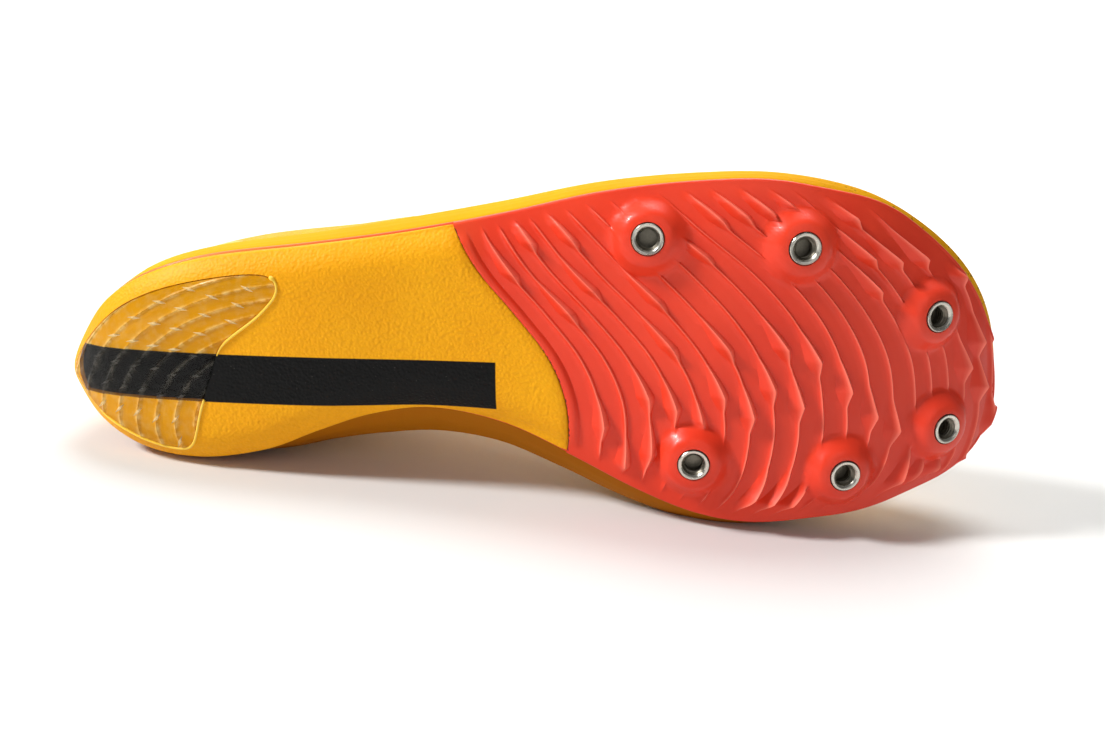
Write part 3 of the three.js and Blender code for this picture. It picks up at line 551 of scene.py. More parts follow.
# Fits rows of the sole, given as x at each place of acrossFine, between the two edges.
def fitRows(rowX, inset, columns):
    y = np.broadcast_to(acrossFine, rowX.shape)
    coarse = slice(None, None, 2)
    signed = insideBy(rowX[:, coarse], y[:, coarse])[0]
    signed = signed - (inset(rowX[:, coarse]) if callable(inset) else inset)
    signed = np.stack([np.interp(acrossFine, acrossFine[coarse], row) for row in signed])
    ends = []
    for row in signed:
        inside = np.flatnonzero(row > 0)
        a, b = inside[0], inside[-1]
        first = np.interp(0, [row[a - 1], row[a]], acrossFine[[a - 1, a]])
        final = np.interp(0, [row[b + 1], row[b]], acrossFine[[b + 1, b]])
        ends.append((first, final))
    ends = np.array(ends)
    share = np.linspace(0, 1, columns)
    places = ends[:, :1] + (ends[:, 1:] - ends[:, :1]) * share
    along = np.stack([np.interp(p, acrossFine, row) for p, row in zip(places, rowX)])
    return along, places


# Adds rows between rows whose ends are more than reach apart, so that the edge stays round.
def addRows(rowX, others, inset, reach=2.2):
    for _ in range(3):
        along, places = fitRows(rowX, inset, 2)
        gap = np.hypot(np.diff(along, axis=0), np.diff(places, axis=0)).max(axis=1)
        parts = np.clip(np.ceil(gap / reach), 1, 6).astype(int)
        at = np.concatenate([i + np.arange(n) / n for i, n in enumerate(parts)] + [[len(rowX) - 1.0]])
        low = np.minimum(at.astype(int), len(rowX) - 2)
        share = (at - low)[:, None]
        rowX = rowX[low] + (rowX[low + 1] - rowX[low]) * share
        others = [other[low] + (other[low + 1] - other[low]) * share for other in others]
    return rowX, others


# How far rows can run, as a rib number, before they leave the sole inside its inset edge.
def ribLimit(start, end, inset):
    for _ in range(24):
        middle = (start + end) / 2
        x = ribAlong(middle, acrossFine[::4])
        far, _, _ = toEdge(x, acrossFine[::4])
        fits = (np.where(isInside(x, acrossFine[::4]), far, -far) > inset).any()
        start, end = (middle, end) if fits else (start, middle)
    return start


# Bends the first or last rows on to the edge itself, so that heel and toe are round.
def roundTip(x, y, weights, inset, backward):
    for row, weight in enumerate(weights):
        if weight == 0:
            continue
        _, _, place = toEdge(x[row, [0, -1]], y[row, [0, -1]])
        begin, finish = place
        if backward and finish > begin:
            finish -= ringTotal
        track = begin + (finish - begin) * np.linspace(0, 1, x.shape[1])
        spot, outward = onRing(track)
        spot = spot - outward * (inset(spot[:, :1]) if callable(inset) else inset)
        x[row] += (spot[:, 0] - x[row]) * weight
        y[row] += (spot[:, 1] - y[row]) * weight


# The way out at each point round a grid. With front, its last row faces forward instead.
def loopOutward(x, y, front=False):
    index = np.arange(x.size).reshape(x.shape)
    rim = np.stack([x, y], -1).reshape(-1, 2)[gridLoop(index)]
    _, _, place = toEdge(rim[:, 0], rim[:, 1])
    _, outward = onRing(place)
    if front:
        rows, columns = x.shape
        edge = slice(rows, rows + columns - 2)
        run = np.gradient(rim[rows - 1 : rows + columns - 1], axis=0)
        run /= np.linalg.norm(run, axis=1)[:, None]
        forward = np.stack([run[:, 1], -run[:, 0]], 1)
        outward[edge] = forward[1:-1]
        for corner, near in ((rows - 1, 0), (rows + columns - 2, -1)):
            both = outward[corner] + forward[near]
            outward[corner] = both / np.linalg.norm(both)
    return outward


# A ring of points at a share of the way from the centre line to the edge moved out by offset.
def ringAt(share, offset, height):
    outer = ring + ringOut * np.broadcast_to(offset, (len(ring),))[:, None]
    x = ridgeX + (outer[:, 0] - ridgeX) * share
    y = ridgeY + (outer[:, 1] - ridgeY) * share
    far, _, _ = toEdge(x, y)
    far = np.where(isInside(x, y), far, 0)
    return np.stack([x, y, height(x, far)], 1)


def ringFaces(levels, count):
    faces = []
    for level in range(levels - 1):
        low = np.arange(count) + level * count
        high = low + count
        quads = np.stack([low, np.roll(low, -1), np.roll(high, -1), high], -1)
        faces += quads.tolist()
    return faces


# In plateLook, crest is a painted highlight along the rib crest lines.
plateLook = {
    # toe is painted shade: the coral darkens towards the toe.
    "coral": "#ee4326", "drift": "#e6391e", "toe": "#c63529", "heel": "#d9752f", "crest": "#ff806a",
    # line is a painted shadow in the gap at the pad's border.
    "line": "#5c120e", "roughness": 0.36, "coat": 0.12,
}
plateSizes = {
    "inset": 0.9,
    "columns": 124,
    "ribHeight": 1.0,
    "thornHeight": 3.2,
    "thornRun": 9.5,
    "thornFall": 2.7,
    "toeGrowth": 2.4,
    "growFrom": (218, 248),
    "growBack": (262, 277),
    "crownAcross": 14.0,
    "toeSteps": 16,
    "toeShare": 0.985,
    "heelRows": 8,
    "margin": 2.0,
    "fadeIn": 5.0,
    "bossRadius": 11.0,
    "bossTopRadius": 5.4,
    "bossHeight": 4.2,
    "boreRadius": 4.7,
    "boreBelow": -4.0,
    "boreAbove": 9.0,
    "ribs": 21,
    "rimProfile": [
        (0.35, 0.02), (0.6, 0.07), (0.78, 0.15), (0.87, 0.27), (0.9, 0.42), (0.9, 0.8), (0.8, 0.93),
        (0.65, 1),
    ],
}
thornRows = {
    1: [-0.24, 0.2], 2: [-0.13, 0.32], 3: [-0.33, 0.11, 0.28], 4: [-0.2, 0.14],
    5: [-0.34, -0.04, 0.2], 6: [-0.17, 0.1], 7: [-0.04, 0.16], 8: [0.08, 0.41],
    9: [-0.3, -0.04, 0.13, 0.42], 10: [0.0, 0.43], 11: [-0.4, 0.09], 12: [-0.41, 0.17],
    13: [-0.42, 0.22], 14: [-0.41, -0.2, 0.38], 15: [-0.29, 0.39], 16: [-0.4, -0.28, 0.37],
    17: [-0.28, 0.05], 18: [-0.22, -0.02, 0.12], 19: [0.25],
}
receptacleRows = {
    "lateral_rear": (0.622, -0.351), "lateral_middle": (0.772, -0.328),
    "lateral_front": (0.914, -0.12), "medial_front": (0.934, 0.222),
    "medial_middle": (0.826, 0.334), "medial_rear": (0.673, 0.296),
}
# A rib's section: the shares of the way up its rear slope and down its front, with the share of
# painted highlight there (a lighter tint along the crest that runs on over the front face and
# lifts its shade), and of the valley behind it. The border's own ridge is given as (forward, rise).
rearSteps = {0: 0.0, 0.3: 0.0, 0.55: 0.0, 0.75: 0.25, 0.9: 0.85, 0.97: 1.0, 1: 1.0}
frontSteps = {0.1: 1.0, 0.3: 0.95, 0.6: 0.7, 1: 0.0}
valleySteps = [0.2, 0.45, 0.7]
borderRidge = [
    (0.04, 0), (0.14, 0.5), (0.4, 0.86), (0.9, 1), (1.7, 1), (2.3, 0.9), (2.8, 0.62), (3.15, 0.25),
    (3.5, 0),
]
# Where a rib's parts stand, in mm from its line: on a plain rib, and how much more on a thorn.
ribParts = {"rear": (-1.15, -1.5), "crest": (0.24, 1.2), "front": (0.62, 0.7)}


# The plate comes out almost to the foam's own edge round the toe.
def toeGrowth(x):
    grown = smoothstep(x, *plateSizes["growFrom"]) - 0.2 * smoothstep(x, *plateSizes["growBack"])
    return plateSizes["toeGrowth"] * grown


def plateInset(x):
    return plateSizes["inset"] - toeGrowth(x)


def thornShare(rib, y):
    share = np.zeros_like(y)
    for across in thornRows.get(rib, []):
        past = y - across * ballWidth
        rising = 1 + past / plateSizes["thornRun"]
        fall = plateSizes["thornFall"] * (1 + 0.85 * smoothstep(across, -0.3, 0.1))
        falling = 1 - past / fall
        share = np.maximum(share, np.where(past < 0, rising, falling))
    return np.clip(share, 0, 1)


def receptacleFrame(along, across):
    x, y = along * soleLength, across * ballWidth
    reach = plateSizes["bossTopRadius"]
    spotsX = np.array([x + reach, x - reach, x, x, x])
    spotsY = np.array([y, y, y + reach, y - reach, y])
    far, _, _ = toEdge(spotsX, spotsY)
    height = groundAt(spotsX, far) + sole["plateSink"]
    slopeX = (height[0] - height[1]) / (2 * reach)
    slopeY = (height[2] - height[3]) / (2 * reach)
    axis = np.array([slopeX, slopeY, -1.0])
    return np.array([x, y, height[4]]), axis / np.linalg.norm(axis)


def plateRows():
    y = acrossFine
    heelEnd = ribLimit(-4, -40, plateSizes["inset"])
    border = -sole["ribBase"] / sole["ribPitch"]
    rows, rises, levels, crests = [], [], [], []

    # crest is the row's share of painted highlight.
    def add(x, rise, level, crest=0.0):
        rows.append(np.broadcast_to(x, y.shape))
        rises.append(np.broadcast_to(rise, y.shape))
        levels.append([level])
        crests.append([crest])

    for share in np.linspace(0.06, 1, 44):
        number = heelEnd + (border - heelEnd) * share**1.5
        add(ribAlong(number, y), 0, 0)
    start = ribAlong(0, y) - sole["ribBase"]
    for step, rise in borderRidge:
        add(start + step, rise * plateSizes["ribHeight"], 1)
    foot = start + borderRidge[-1][0]
    for rib in range(1, plateSizes["ribs"] + 1):
        share = thornShare(rib, y)
        crestX = ribAlong(rib, y)
        rear, crest, front = (plain + more * share for plain, more in ribParts.values())
        crest = crestX + crest
        front = crest + front
        rear = np.maximum(crestX + rear, foot + 0.35)
        height = plateSizes["ribHeight"] * 0.95
        height = height + (plateSizes["thornHeight"] - height) * share**1.25
        for step in valleySteps:
            add(foot + (rear - foot) * step, 0, 1)
        power = 1.6 - 0.55 * np.minimum(1, share * 3)
        for step, highlightShare in rearSteps.items():
            rounding = 1 - 0.06 * (step == 1)
            add(rear + (crest - rear) * step, height * step**power * rounding, 1, highlightShare)
        for step, highlightShare in frontSteps.items():
            add(crest + (front - crest) * step, height * (1 - step) ** 1.25, 1, highlightShare)
        foot = front
    return np.stack(rows), np.stack(rises), np.array(levels, float), np.array(crests)


def domeHeight(reach):
    width = plateSizes["bossRadius"] - plateSizes["bossTopRadius"]
    inward = np.clip((plateSizes["bossRadius"] + 0.8 - reach) / (width + 0.8), 0, 1)
    shape = smoothColumn([0, 0.12, 0.4, 0.68, 1], [0, 0.03, 0.42, 0.86, 1], inward)
    return shape * plateSizes["bossHeight"]


def makePlateFace():
    rowX, rises, levels, crests = plateRows()
    coarse = slice(None, None, 4)
    toeEnd = ribLimit(12, 30, plateInset(soleLength))
    across = np.broadcast_to(acrossFine[coarse], rowX[:, coarse].shape)
    signed = insideBy(rowX[:, coarse], across)[0] - plateInset(rowX[:, coarse])
    kept = np.flatnonzero((signed > 0).sum(axis=1) > 20)
    rowX, rises, levels, crests = (a[kept] for a in (rowX, rises, levels, crests))
    middle, most = plateSizes["crownAcross"], plateSizes["toeShare"]
    reach = rowX[-1][np.argmin(np.abs(acrossFine - middle))]
    crown = ribAlong(toeEnd, np.array([middle]))[0]
    steps = np.linspace(0, most, plateSizes["toeSteps"])[1:]
    tail = [rowX[-1] + (crown - reach) * (1 - (1 - share) ** 2) for share in steps]
    rowX = np.concatenate([rowX, tail])
    tips = np.concatenate([np.zeros(len(rises)), steps])[:, None]
    plain = np.zeros((len(tail), 1))
    rises = np.concatenate([rises, np.repeat(plain, rises.shape[1], axis=1)])
    levels = np.concatenate([levels, plain + 1])
    crests = np.concatenate([crests, plain])
    heels = np.clip(1 - np.arange(len(rowX)) / plateSizes["heelRows"], 0, 1)[:, None]
    others = [rises, levels, crests, tips, heels]
    rowX, (rises, levels, crests, tips, heels) = addRows(rowX, others, plateInset)
    x, y = fitRows(rowX, plateInset, plateSizes["columns"])
    rise = np.stack([np.interp(p, acrossFine, row) for p, row in zip(y, rises)])
    roundTip(x, y, smoothstep(tips[:, 0], 0.2, most), plateInset, False)
    roundTip(x, y, smoothstep(heels[:, 0], 0, 1), plateInset, True)
    return x, y, rise, levels, crests


def plateNormals(x, far, away):
    slope = groundLine(x + 0.5) - groundLine(x - 0.5)
    width = sole["soleRollWidth"]
    lift = sole["soleRoll"] * 2 * np.maximum(0, 1 - far / width) / width
    normal = np.stack([slope - lift * away[..., 0], -lift * away[..., 1], -np.ones_like(x)], -1)
    return normal / np.linalg.norm(normal, axis=-1, keepdims=True)


def plateMaterial():
    # Injection-moulded TPU: an even satin skin with a tight gloss on every ridge and dome. Along
    # each rib's crest the coral is painted lighter, a painted highlight.
    grains = [(38, 2.0), (1.1, 0.0), (0.9, 2.0), (5.0, 1.0)]
    made, tree, _, (cloud, ragged, grain, skin) = newMaterial("moulded coral TPU", grains)
    along = shoeAxes(tree)[0]
    crest = addNode(tree, "ShaderNodeAttribute", output="Fac", attribute_name="crest")
    seam = addNode(tree, "ShaderNodeAttribute", output="Fac", attribute_name="seam")
    teeth = addNode(tree, "ShaderNodeMapRange", {0: ragged, 1: 0.35, 2: 0.65, 3: -0.3, 4: 0.3})
    line = addNode(tree, "ShaderNodeMath", {0: seam, 1: teeth}, operation="ADD")
    tint = paintOver(tree, linear(plateLook["coral"]), [
        (cloud, 0.3, 0.7, 1.0, plateLook["drift"]),
        # painted shade: darker towards the toe
        (along, 190.0, 275.0, 0.3, plateLook["toe"]),
        (along, 130.0, 60.0, 1.0, plateLook["heel"]),
        # painted highlight: a lighter coral along the rib crest lines
        (crest, 0.0, 1.0, 0.9, plateLook["crest"]),
        # painted shadow: a dark ragged line in the gap where the pad's border meets the plate
        (line, 0.45, 0.6, 1.0, plateLook["line"]),
    ])
    low, high = plateLook["roughness"] - 0.05, plateLook["roughness"] + 0.08
    return finishMaterial(made, tint, [(skin, 0.1), (grain, 0.025)], {
        "Roughness": addNode(tree, "ShaderNodeMapRange", {0: grain, 1: 0.3, 2: 0.7, 3: low, 4: high}),
        "Coat Weight": plateLook["coat"],
        "Coat Roughness": 0.12,
        "Specular IOR Level": 0.28,
        "Subsurface Weight": 0.05,
        "Subsurface Radius": (0.003, 0.0008, 0.0005),
        "Subsurface Scale": 0.5,
        "IOR": 1.5,
    })


def makePlate():
    x, y, rise, forward, crests = makePlateFace()
    far, away = insideBy(x, y)
    height = groundAt(x, far) + np.where(forward > 0, sole["plateSink"], pocketDepth(x))
    base = np.stack([x, y, height], -1)
    toward = smoothstep(x, 258, 270)
    low = plateSizes["margin"] - 3.5 * toward
    fade = smoothstep(far + toeGrowth(x), low, low + plateSizes["fadeIn"] - 2.5 * toward)
    rise = rise * fade
    domes = np.zeros_like(base)
    for along, across in receptacleRows.values():
        centre, axis = receptacleFrame(along, across)
        offset = base - centre
        reach = np.linalg.norm(offset - (offset @ axis)[..., None] * axis, axis=-1)
        beside = smoothstep(reach, plateSizes["bossRadius"] - 1.4, plateSizes["bossRadius"] + 1.6)
        rise = rise * beside
        fade = fade * beside
        domes += domeHeight(reach)[..., None] * axis * (forward > 0)[..., None]
    face = base + plateNormals(x, far, away) * rise[..., None] + domes
    outward = loopOutward(x, y)
    points, faces = pillow(face, plateOverAt(x, far), outward, plateSizes["rimProfile"])
    piece = makePiece("plate_ribbed", points, faces, [plateMaterial()])
    for along, across in receptacleRows.values():
        centre, axis = receptacleFrame(along, across)
        bore = (plateSizes[key] for key in ("boreRadius", "boreBelow", "boreAbove"))
        cutWith(piece, turnedTool(centre, axis, *bore), angle=32)
    where = shoePlaces(piece)
    # Where the pad's border meets the plate, kept for a painted shadow line in the gap.
    past = where[:, 0] - (ribAlong(0, where[:, 1]) - sole["ribBase"])
    inside = insideBy(where[:, 0], where[:, 1])[0]
    seam = (1 - smoothstep(np.abs(past), 0.12, 0.5)) * smoothstep(inside, 1.0, 1.6)
    # The painted highlight along the rib crest lines, found again for each point after the bores
    # are cut.
    finder = KDTree(face.shape[0] * face.shape[1])
    for i, spot in enumerate(face.reshape(-1, 3)):
        finder.insert(spot, i)
    finder.balance()
    paintedHighlight = (crests * fade * smoothstep(rise, 0.2, 0.7)).ravel()
    crest = np.zeros(len(where))
    for i, spot in enumerate(where):
        _, nearest, distance = finder.find(spot)
        crest[i] = paintedHighlight[nearest] if distance < 0.1 else 0
    keepOnPoints(piece.data, "seam", seam)
    keepOnPoints(piece.data, "crest", crest)
    return piece


def turnedTool(centre, axis, radius, low, high, sides=56):
    aside = np.cross(axis, [0, 1, 0])
    aside /= np.linalg.norm(aside)
    other = np.cross(axis, aside)
    turn = np.linspace(0, 2 * np.pi, sides, endpoint=False)[:, None]
    circle = (np.cos(turn) * aside + np.sin(turn) * other) * radius
    points = np.concatenate([centre + circle + axis * low, centre + circle + axis * high])
    faces = [list(range(sides)), list(range(sides, 2 * sides))]
    for i in range(sides):
        faces.append([i, (i + 1) % sides, (i + 1) % sides + sides, i + sides])
    return rawMesh("bore", points, faces)


plate = makePlate()
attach(plate, "root")
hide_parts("plate")
print("plate", len(plate.data.polygons))


padLook = {
    "amber": "#f3a506", "light": "#f8ae0c", "shade": "#e09306", "band": "#040404", "speck": "#3a3733",
}
padSizes = {
    "columns": 96,
    "rows": 130,
    "bandCentre": 5.6,
    "bandSlope": 0.025,
    "bandWidth": 14.5,
    "bandStart": 4.4,
    "bandEnd": 131.0,
    "bandSoft": 0.12,
    "edge": 0.2,
    "heelRows": 10,
    "frontRoll": 0.35,
    "frontRollWidth": 2.2,
    "rimProfile": [(0.3, 0.06), (0.55, 0.2), (0.68, 0.45), (0.7, 0.85), (0.6, 1)],
    "bandBow": 0.045,
    "beadRadius": 0.4,
}
treadRows = np.array([
    [0.008, 0.05], [0.035, -0.045], [0.075, -0.135], [0.125, -0.195], [0.19, -0.232],
    [0.235, -0.235], [0.245, -0.19], [0.225, -0.12], [0.185, -0.03], [0.172, 0.06],
    [0.158, 0.16], [0.145, 0.27], [0.125, 0.292], [0.085, 0.262], [0.04, 0.195], [0.014, 0.12],
])
treadSizes = {"depth": 2.6, "outlineSteps": 192}


# Where the plain black band is printed across the pad. Its rear end is bowed as the heel is.
def bandMask(tree):
    forward, across, _ = shoeAxes(tree)
    sockets = {0: forward, 1: padSizes["bandSlope"], 2: padSizes["bandCentre"]}
    middle = addNode(tree, "ShaderNodeMath", sockets, operation="MULTIPLY_ADD")
    off = addNode(tree, "ShaderNodeMath", {0: across, 1: middle}, operation="SUBTRACT")
    off = addNode(tree, "ShaderNodeMath", {0: off}, operation="ABSOLUTE")
    sockets = {0: across, 1: padSizes["bandCentre"] + 1}
    aside = addNode(tree, "ShaderNodeMath", sockets, operation="SUBTRACT")
    square = addNode(tree, "ShaderNodeMath", {0: aside, 1: aside}, operation="MULTIPLY")
    sockets = {0: square, 1: -padSizes["bandBow"], 2: forward}
    rear = addNode(tree, "ShaderNodeMath", sockets, operation="MULTIPLY_ADD")
    soft = padSizes["bandSoft"]
    mask = 1.0
    for source, edge, start, end in (
        (off, padSizes["bandWidth"] / 2, 1.0, 0.0),
        (forward, padSizes["bandEnd"], 1.0, 0.0),
        (rear, padSizes["bandStart"], 0.0, 1.0),
    ):
        sockets = {0: source, 1: edge - soft, 2: edge + soft, 3: start, 4: end}
        side = addNode(tree, "ShaderNodeMapRange", sockets)
        mask = addNode(tree, "ShaderNodeMath", {0: mask, 1: side}, operation="MULTIPLY")
    return mask


def padMaterial():
    # Moulded rubber from an etched tool: a fine pebbled leather grain, matt, bright on its edges.
    name, grains = "pebble-grained moulded rubber", [(0.7, 2.0), (24, 3.0), (0.5, 1.0)]
    made, tree, where, (fine, cloud, specks) = newMaterial(name, grains)
    sockets = {"Vector": where, "Scale": 1000 / 0.85, "Randomness": 1.0}
    pebbles = addNode(tree, "ShaderNodeTexVoronoi", sockets, "Distance", feature="SMOOTH_F1")
    amber = paintOver(tree, linear(padLook["amber"]), [
        (cloud, 0.3, 0.72, 1.0, padLook["light"]),
        (pebbles, 0.35, 0.85, 0.35, padLook["shade"]),
    ])
    ink = paintOver(tree, linear(padLook["band"]), [(specks, 0.72, 0.8, 1.0, padLook["speck"])])
    band = bandMask(tree)
    tint = paintOver(tree, amber, [(band, 0.0, 1.0, 1.0, ink)])
    rough = addNode(tree, "ShaderNodeMath", {0: band, 1: -0.1, 2: 0.52}, operation="MULTIPLY_ADD")
    return finishMaterial(made, tint, [(pebbles, 0.2), (fine, 0.07)], {
        "Roughness": rough,
        "Specular IOR Level": 0.16,
        "Coat Weight": 0.02,
        "Coat Roughness": 0.3,
        "Subsurface Weight": 0.05,
        "Subsurface Radius": (0.004, 0.002, 0.0006),
        "Subsurface Scale": 0.4,
    })


def treadOutline(offset):
    turns = np.linspace(0, len(treadRows), treadSizes["outlineSteps"], endpoint=False)
    rows = np.concatenate([treadRows, np.zeros((len(treadRows), 1))], 1)
    place, outward, _ = outlinePlaces(rows, turns)
    return place + outward * offset


def makePad():
    inset = sole["padSetback"] + padSizes["edge"]
    heelEnd = ribLimit(-4, -40, inset)
    border = -(sole["ribBase"] + 2 * clearance) / sole["ribPitch"]
    share = np.linspace(0.06, 1, padSizes["rows"])
    numbers = heelEnd + (border - heelEnd) * share**1.35
    rowX = np.stack([ribAlong(number, acrossFine) for number in numbers])
    heels = np.clip(1 - np.arange(len(rowX)) / padSizes["heelRows"], 0, 1)[:, None]
    rowX, (heels,) = addRows(rowX, [heels], inset)
    x, y = fitRows(rowX, inset, padSizes["columns"])
    roundTip(x, y, smoothstep(heels[:, 0], 0, 1), inset, True)
    far, _, _ = toEdge(x, y)
    over = groundAt(x, far) + pocketDepth(x) - clearance
    low = groundAt(x, far) + rollUp(far, sole["padRoll"], sole["padRollWidth"])
    fromFront = np.maximum(x[-1][None] - x, 0)
    low += rollUp(fromFront, padSizes["frontRoll"], padSizes["frontRollWidth"])
    face = np.stack([x, y, np.minimum(low, over - clearance)], -1)
    outward = loopOutward(x, y, front=True)
    points, faces = pillow(face, over, outward, padSizes["rimProfile"], sparse=8)
    piece = makePiece("heel_pad_grained", points, faces, [padMaterial()])
    prismPoints, prismFaces = prism(treadOutline(0), -30, 60)
    tool = rawMesh("pocket", prismPoints, prismFaces)
    keep = layerTool(treadSizes["depth"] + clearance)
    cutWith(tool, keep, "INTERSECT")
    cutWith(piece, tool, angle=44)
    joinInto(piece, makeBead())
    return piece


# Everything under the sole up to a height above its ground face, to cut flat-bottomed pockets.
def layerTool(height, reach=6.0, low=-25.0):
    shares = [1, 0.8, 0.5, 0.2, 0]
    rings = [ringAt(share, reach, lambda x, far: np.full(len(x), low)) for share in shares[::-1]]
    rings += [ringAt(share, reach, lambda x, far: groundAt(x, far) + height) for share in shares]
    tool = rawMesh("layer", np.concatenate(rings), ringFaces(len(rings), len(ring)))
    weld(tool)
    outwardFaces(tool)
    return tool


def sweepTube(path, radius, sides=8):
    count = len(path)
    run = np.gradient(path, axis=0)
    run /= np.linalg.norm(run, axis=1)[:, None]
    up = np.broadcast_to([0.0, 0.0, -1.0], run.shape)
    side = np.cross(run, up)
    side /= np.linalg.norm(side, axis=1)[:, None]
    lift = np.cross(side, run)
    radius = np.broadcast_to(radius, (count,))
    points = []
    for k in range(sides):
        turn = 2 * math.pi * k / sides
        points.append(path + (side * math.cos(turn) + lift * math.sin(turn)) * radius[:, None])
    points = np.stack(points, 1).reshape(-1, 3)
    faces = [list(range(sides))[::-1], list(range((count - 1) * sides, count * sides))]
    for i in range(count - 1):
        for k in range(sides):
            m = (k + 1) % sides
            a, b = i * sides, (i + 1) * sides
            faces.append([a + k, a + m, b + m, b + k])
    return points, faces


# The raised bead that the mould leaves along the tread's front and medial edges, in two runs
# that stop at the black band. The first starts in a small ball.
def makeBead():
    outline = treadOutline(0.25)
    steps = treadSizes["outlineSteps"]
    path = outline[int(steps * 5.2 / 16) : int(steps * 14.2 / 16)]
    far, _, _ = toEdge(path[:, 0], path[:, 1])
    z = groundAt(path[:, 0], far) + rollUp(far, sole["padRoll"], sole["padRollWidth"]) - 0.1
    middle = padSizes["bandCentre"] + padSizes["bandSlope"] * path[:, 0]
    inBand = np.flatnonzero(np.abs(path[:, 1] - middle) < padSizes["bandWidth"] / 2)
    runs = [slice(0, inBand[0] + 1), slice(inBand[-1], len(path))]
    tubes = []
    for i, run in enumerate(runs):
        own = np.column_stack([path[run], z[run]])
        taper = np.clip(0.4 + np.arange(len(own))[::-1] / 10, 0, 1)
        if i == 0:
            taper[:4] = (1.0, 1.7, 1.7, 1.1)
        tubes.append(sweepTube(own, padSizes["beadRadius"] * taper))
    return makePiece("bead", *gather(tubes), [beadHighlight])


def joinInto(piece, *others):
    work = bmesh.new()
    names = [m.name for m in piece.data.materials]
    work.from_mesh(piece.data)
    for other in others:
        start = len(work.faces)
        remap = []
        for material in other.data.materials:
            if material.name not in names:
                piece.data.materials.append(material)
                names.append(material.name)
            remap.append(names.index(material.name))
        work.from_mesh(other.data)
        work.faces.ensure_lookup_table()
        for face in work.faces[start:]:
            face.material_index = remap[face.material_index]
        bpy.data.objects.remove(other)
    work.to_mesh(piece.data)
    work.free()
    shade(piece, None)


def rimMaterial():
    # The same rubber where the mould was polished: smooth, so it catches a bright line, and painted
    # lighter than the pad as a painted highlight.
    made, tree, _, (cloud,) = newMaterial("polished rubber bead with painted highlight", [(6, 1.0)])
    tint = paintOver(tree, linear("#ffcb2e"), [(cloud, 0.0, 1.0, 1.0, "#ffd84a")])
    return finishMaterial(made, tint, [], {"Roughness": 0.3, "Coat Weight": 0.3})


beadHighlight = rimMaterial()
pad = makePad()
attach(pad, "root")
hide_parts("heel_pad")
print("pad", len(pad.data.polygons))


# medial is painted shade: the foam darkened on its medial side, which faces the floor.
foamLook = {"sun": "#e2a400", "warm": "#dc9c00", "medial": "#a45c03", "speck": "#5a4413"}
foamSizes = {"lip": 1.2, "edgeRound": 1.0}


def foamMaterial():
    # Moulded EVA foam under a sprayed coat: even and matt, with faint dimples and a few specks. The
    # medial side is painted darker, a painted shade.
    grains = [(30, 3.0), (0.9, 0.0), (1.0, 2.0)]
    made, tree, _, (cloud, specks, dimples) = newMaterial("sprayed EVA foam", grains)
    forward, across, _ = shoeAxes(tree)
    toeward = addNode(tree, "ShaderNodeMapRange", {0: forward, 1: 205.0, 2: 262.0, 4: 0.75})
    tint = paintOver(tree, linear(foamLook["sun"]), [
        (cloud, 0.3, 0.7, 1.0, foamLook["warm"]),
        # painted shade on the medial side
        (across, 0.0, 12.0, 0.9, foamLook["medial"]),
        (specks, 0.7, 0.76, toeward, foamLook["speck"]),
    ])
    return finishMaterial(made, tint, [(dimples, 0.07)], {
        "Roughness": 0.68,
        "Specular IOR Level": 0.12,
        "Subsurface Weight": 0.1,
        "Subsurface Radius": (0.004, 0.002, 0.0005),
        "Subsurface Scale": 0.5,
    })


def makeMidsole():
    rings = []
    for share in (0, 0.35, 0.62, 0.8, 0.92, 1):
        rings.append(ringAt(share, -clearance, lambda x, far: plateOverAt(x, far) + clearance))
    foot = plateOverAt(ring[:, 0], np.zeros(len(ring))) + clearance
    lip = featherLine(ring[:, 0]) - foamSizes["lip"]
    for up in np.linspace(0.08, 1, 12):
        out = ringProud * smoothColumn([0, 0.4, 1], [0, 0.5, 1], up)
        out = out + 0.05 * np.sin(math.pi * up) * np.sin(6 * math.pi * up)
        rings.append(ringAt(1, out, lambda x, far: foot + (lip - foot) * up))
    rim = ringProud - foamSizes["edgeRound"]
    for turn in np.linspace(0.2, 1, 5) * math.pi / 2:
        out = rim + foamSizes["edgeRound"] * math.cos(turn)
        rings.append(ringAt(1, out, lambda x, far: lip + foamSizes["lip"] * math.sin(turn)))
    for share in (0.9, 0.6, 0.3, 0):
        rings.append(ringAt(share, rim, lambda x, far: featherLine(x)))
    faces = ringFaces(len(rings), len(ring))
    return makePiece("midsole_foam", np.concatenate(rings), faces, [foamMaterial()], angle=50)


midsole = makeMidsole()
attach(midsole, "root")
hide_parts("midsole")
print("midsole", len(midsole.data.polygons))


upperLook = {"sun": "#fbb703", "thread": "#ee9f00", "pore": "#b87400", "film": "#ffb700"}
# The welded film's two edges: the height where each reaches furthest, its curve, and the distance
# from the heel where the film begins and is whole.
filmEdges = [(16.0, -0.06, 227.0, 227.6), (26.0, 0.028, 50.6, 50.0)]
upperSizes = {
    "vampWall": 1.6,
    "heelWall": 3.0,
    "paddingAlong": 0.25,
    "vampAlong": 0.45,
    "setback": 0.9,
    "outerRows": 46,
    "innerRows": 30,
    "rimRows": 7,
    "throatHalf": 10.0,
    "throatFront": 190.0,
    "throatBack": 101.0,
    "throatShift": 1.5,
    "corner": 3.0,
    "throatEase": 61.0,
}
throatEnd = upperSizes["throatFront"] - upperSizes["throatHalf"]
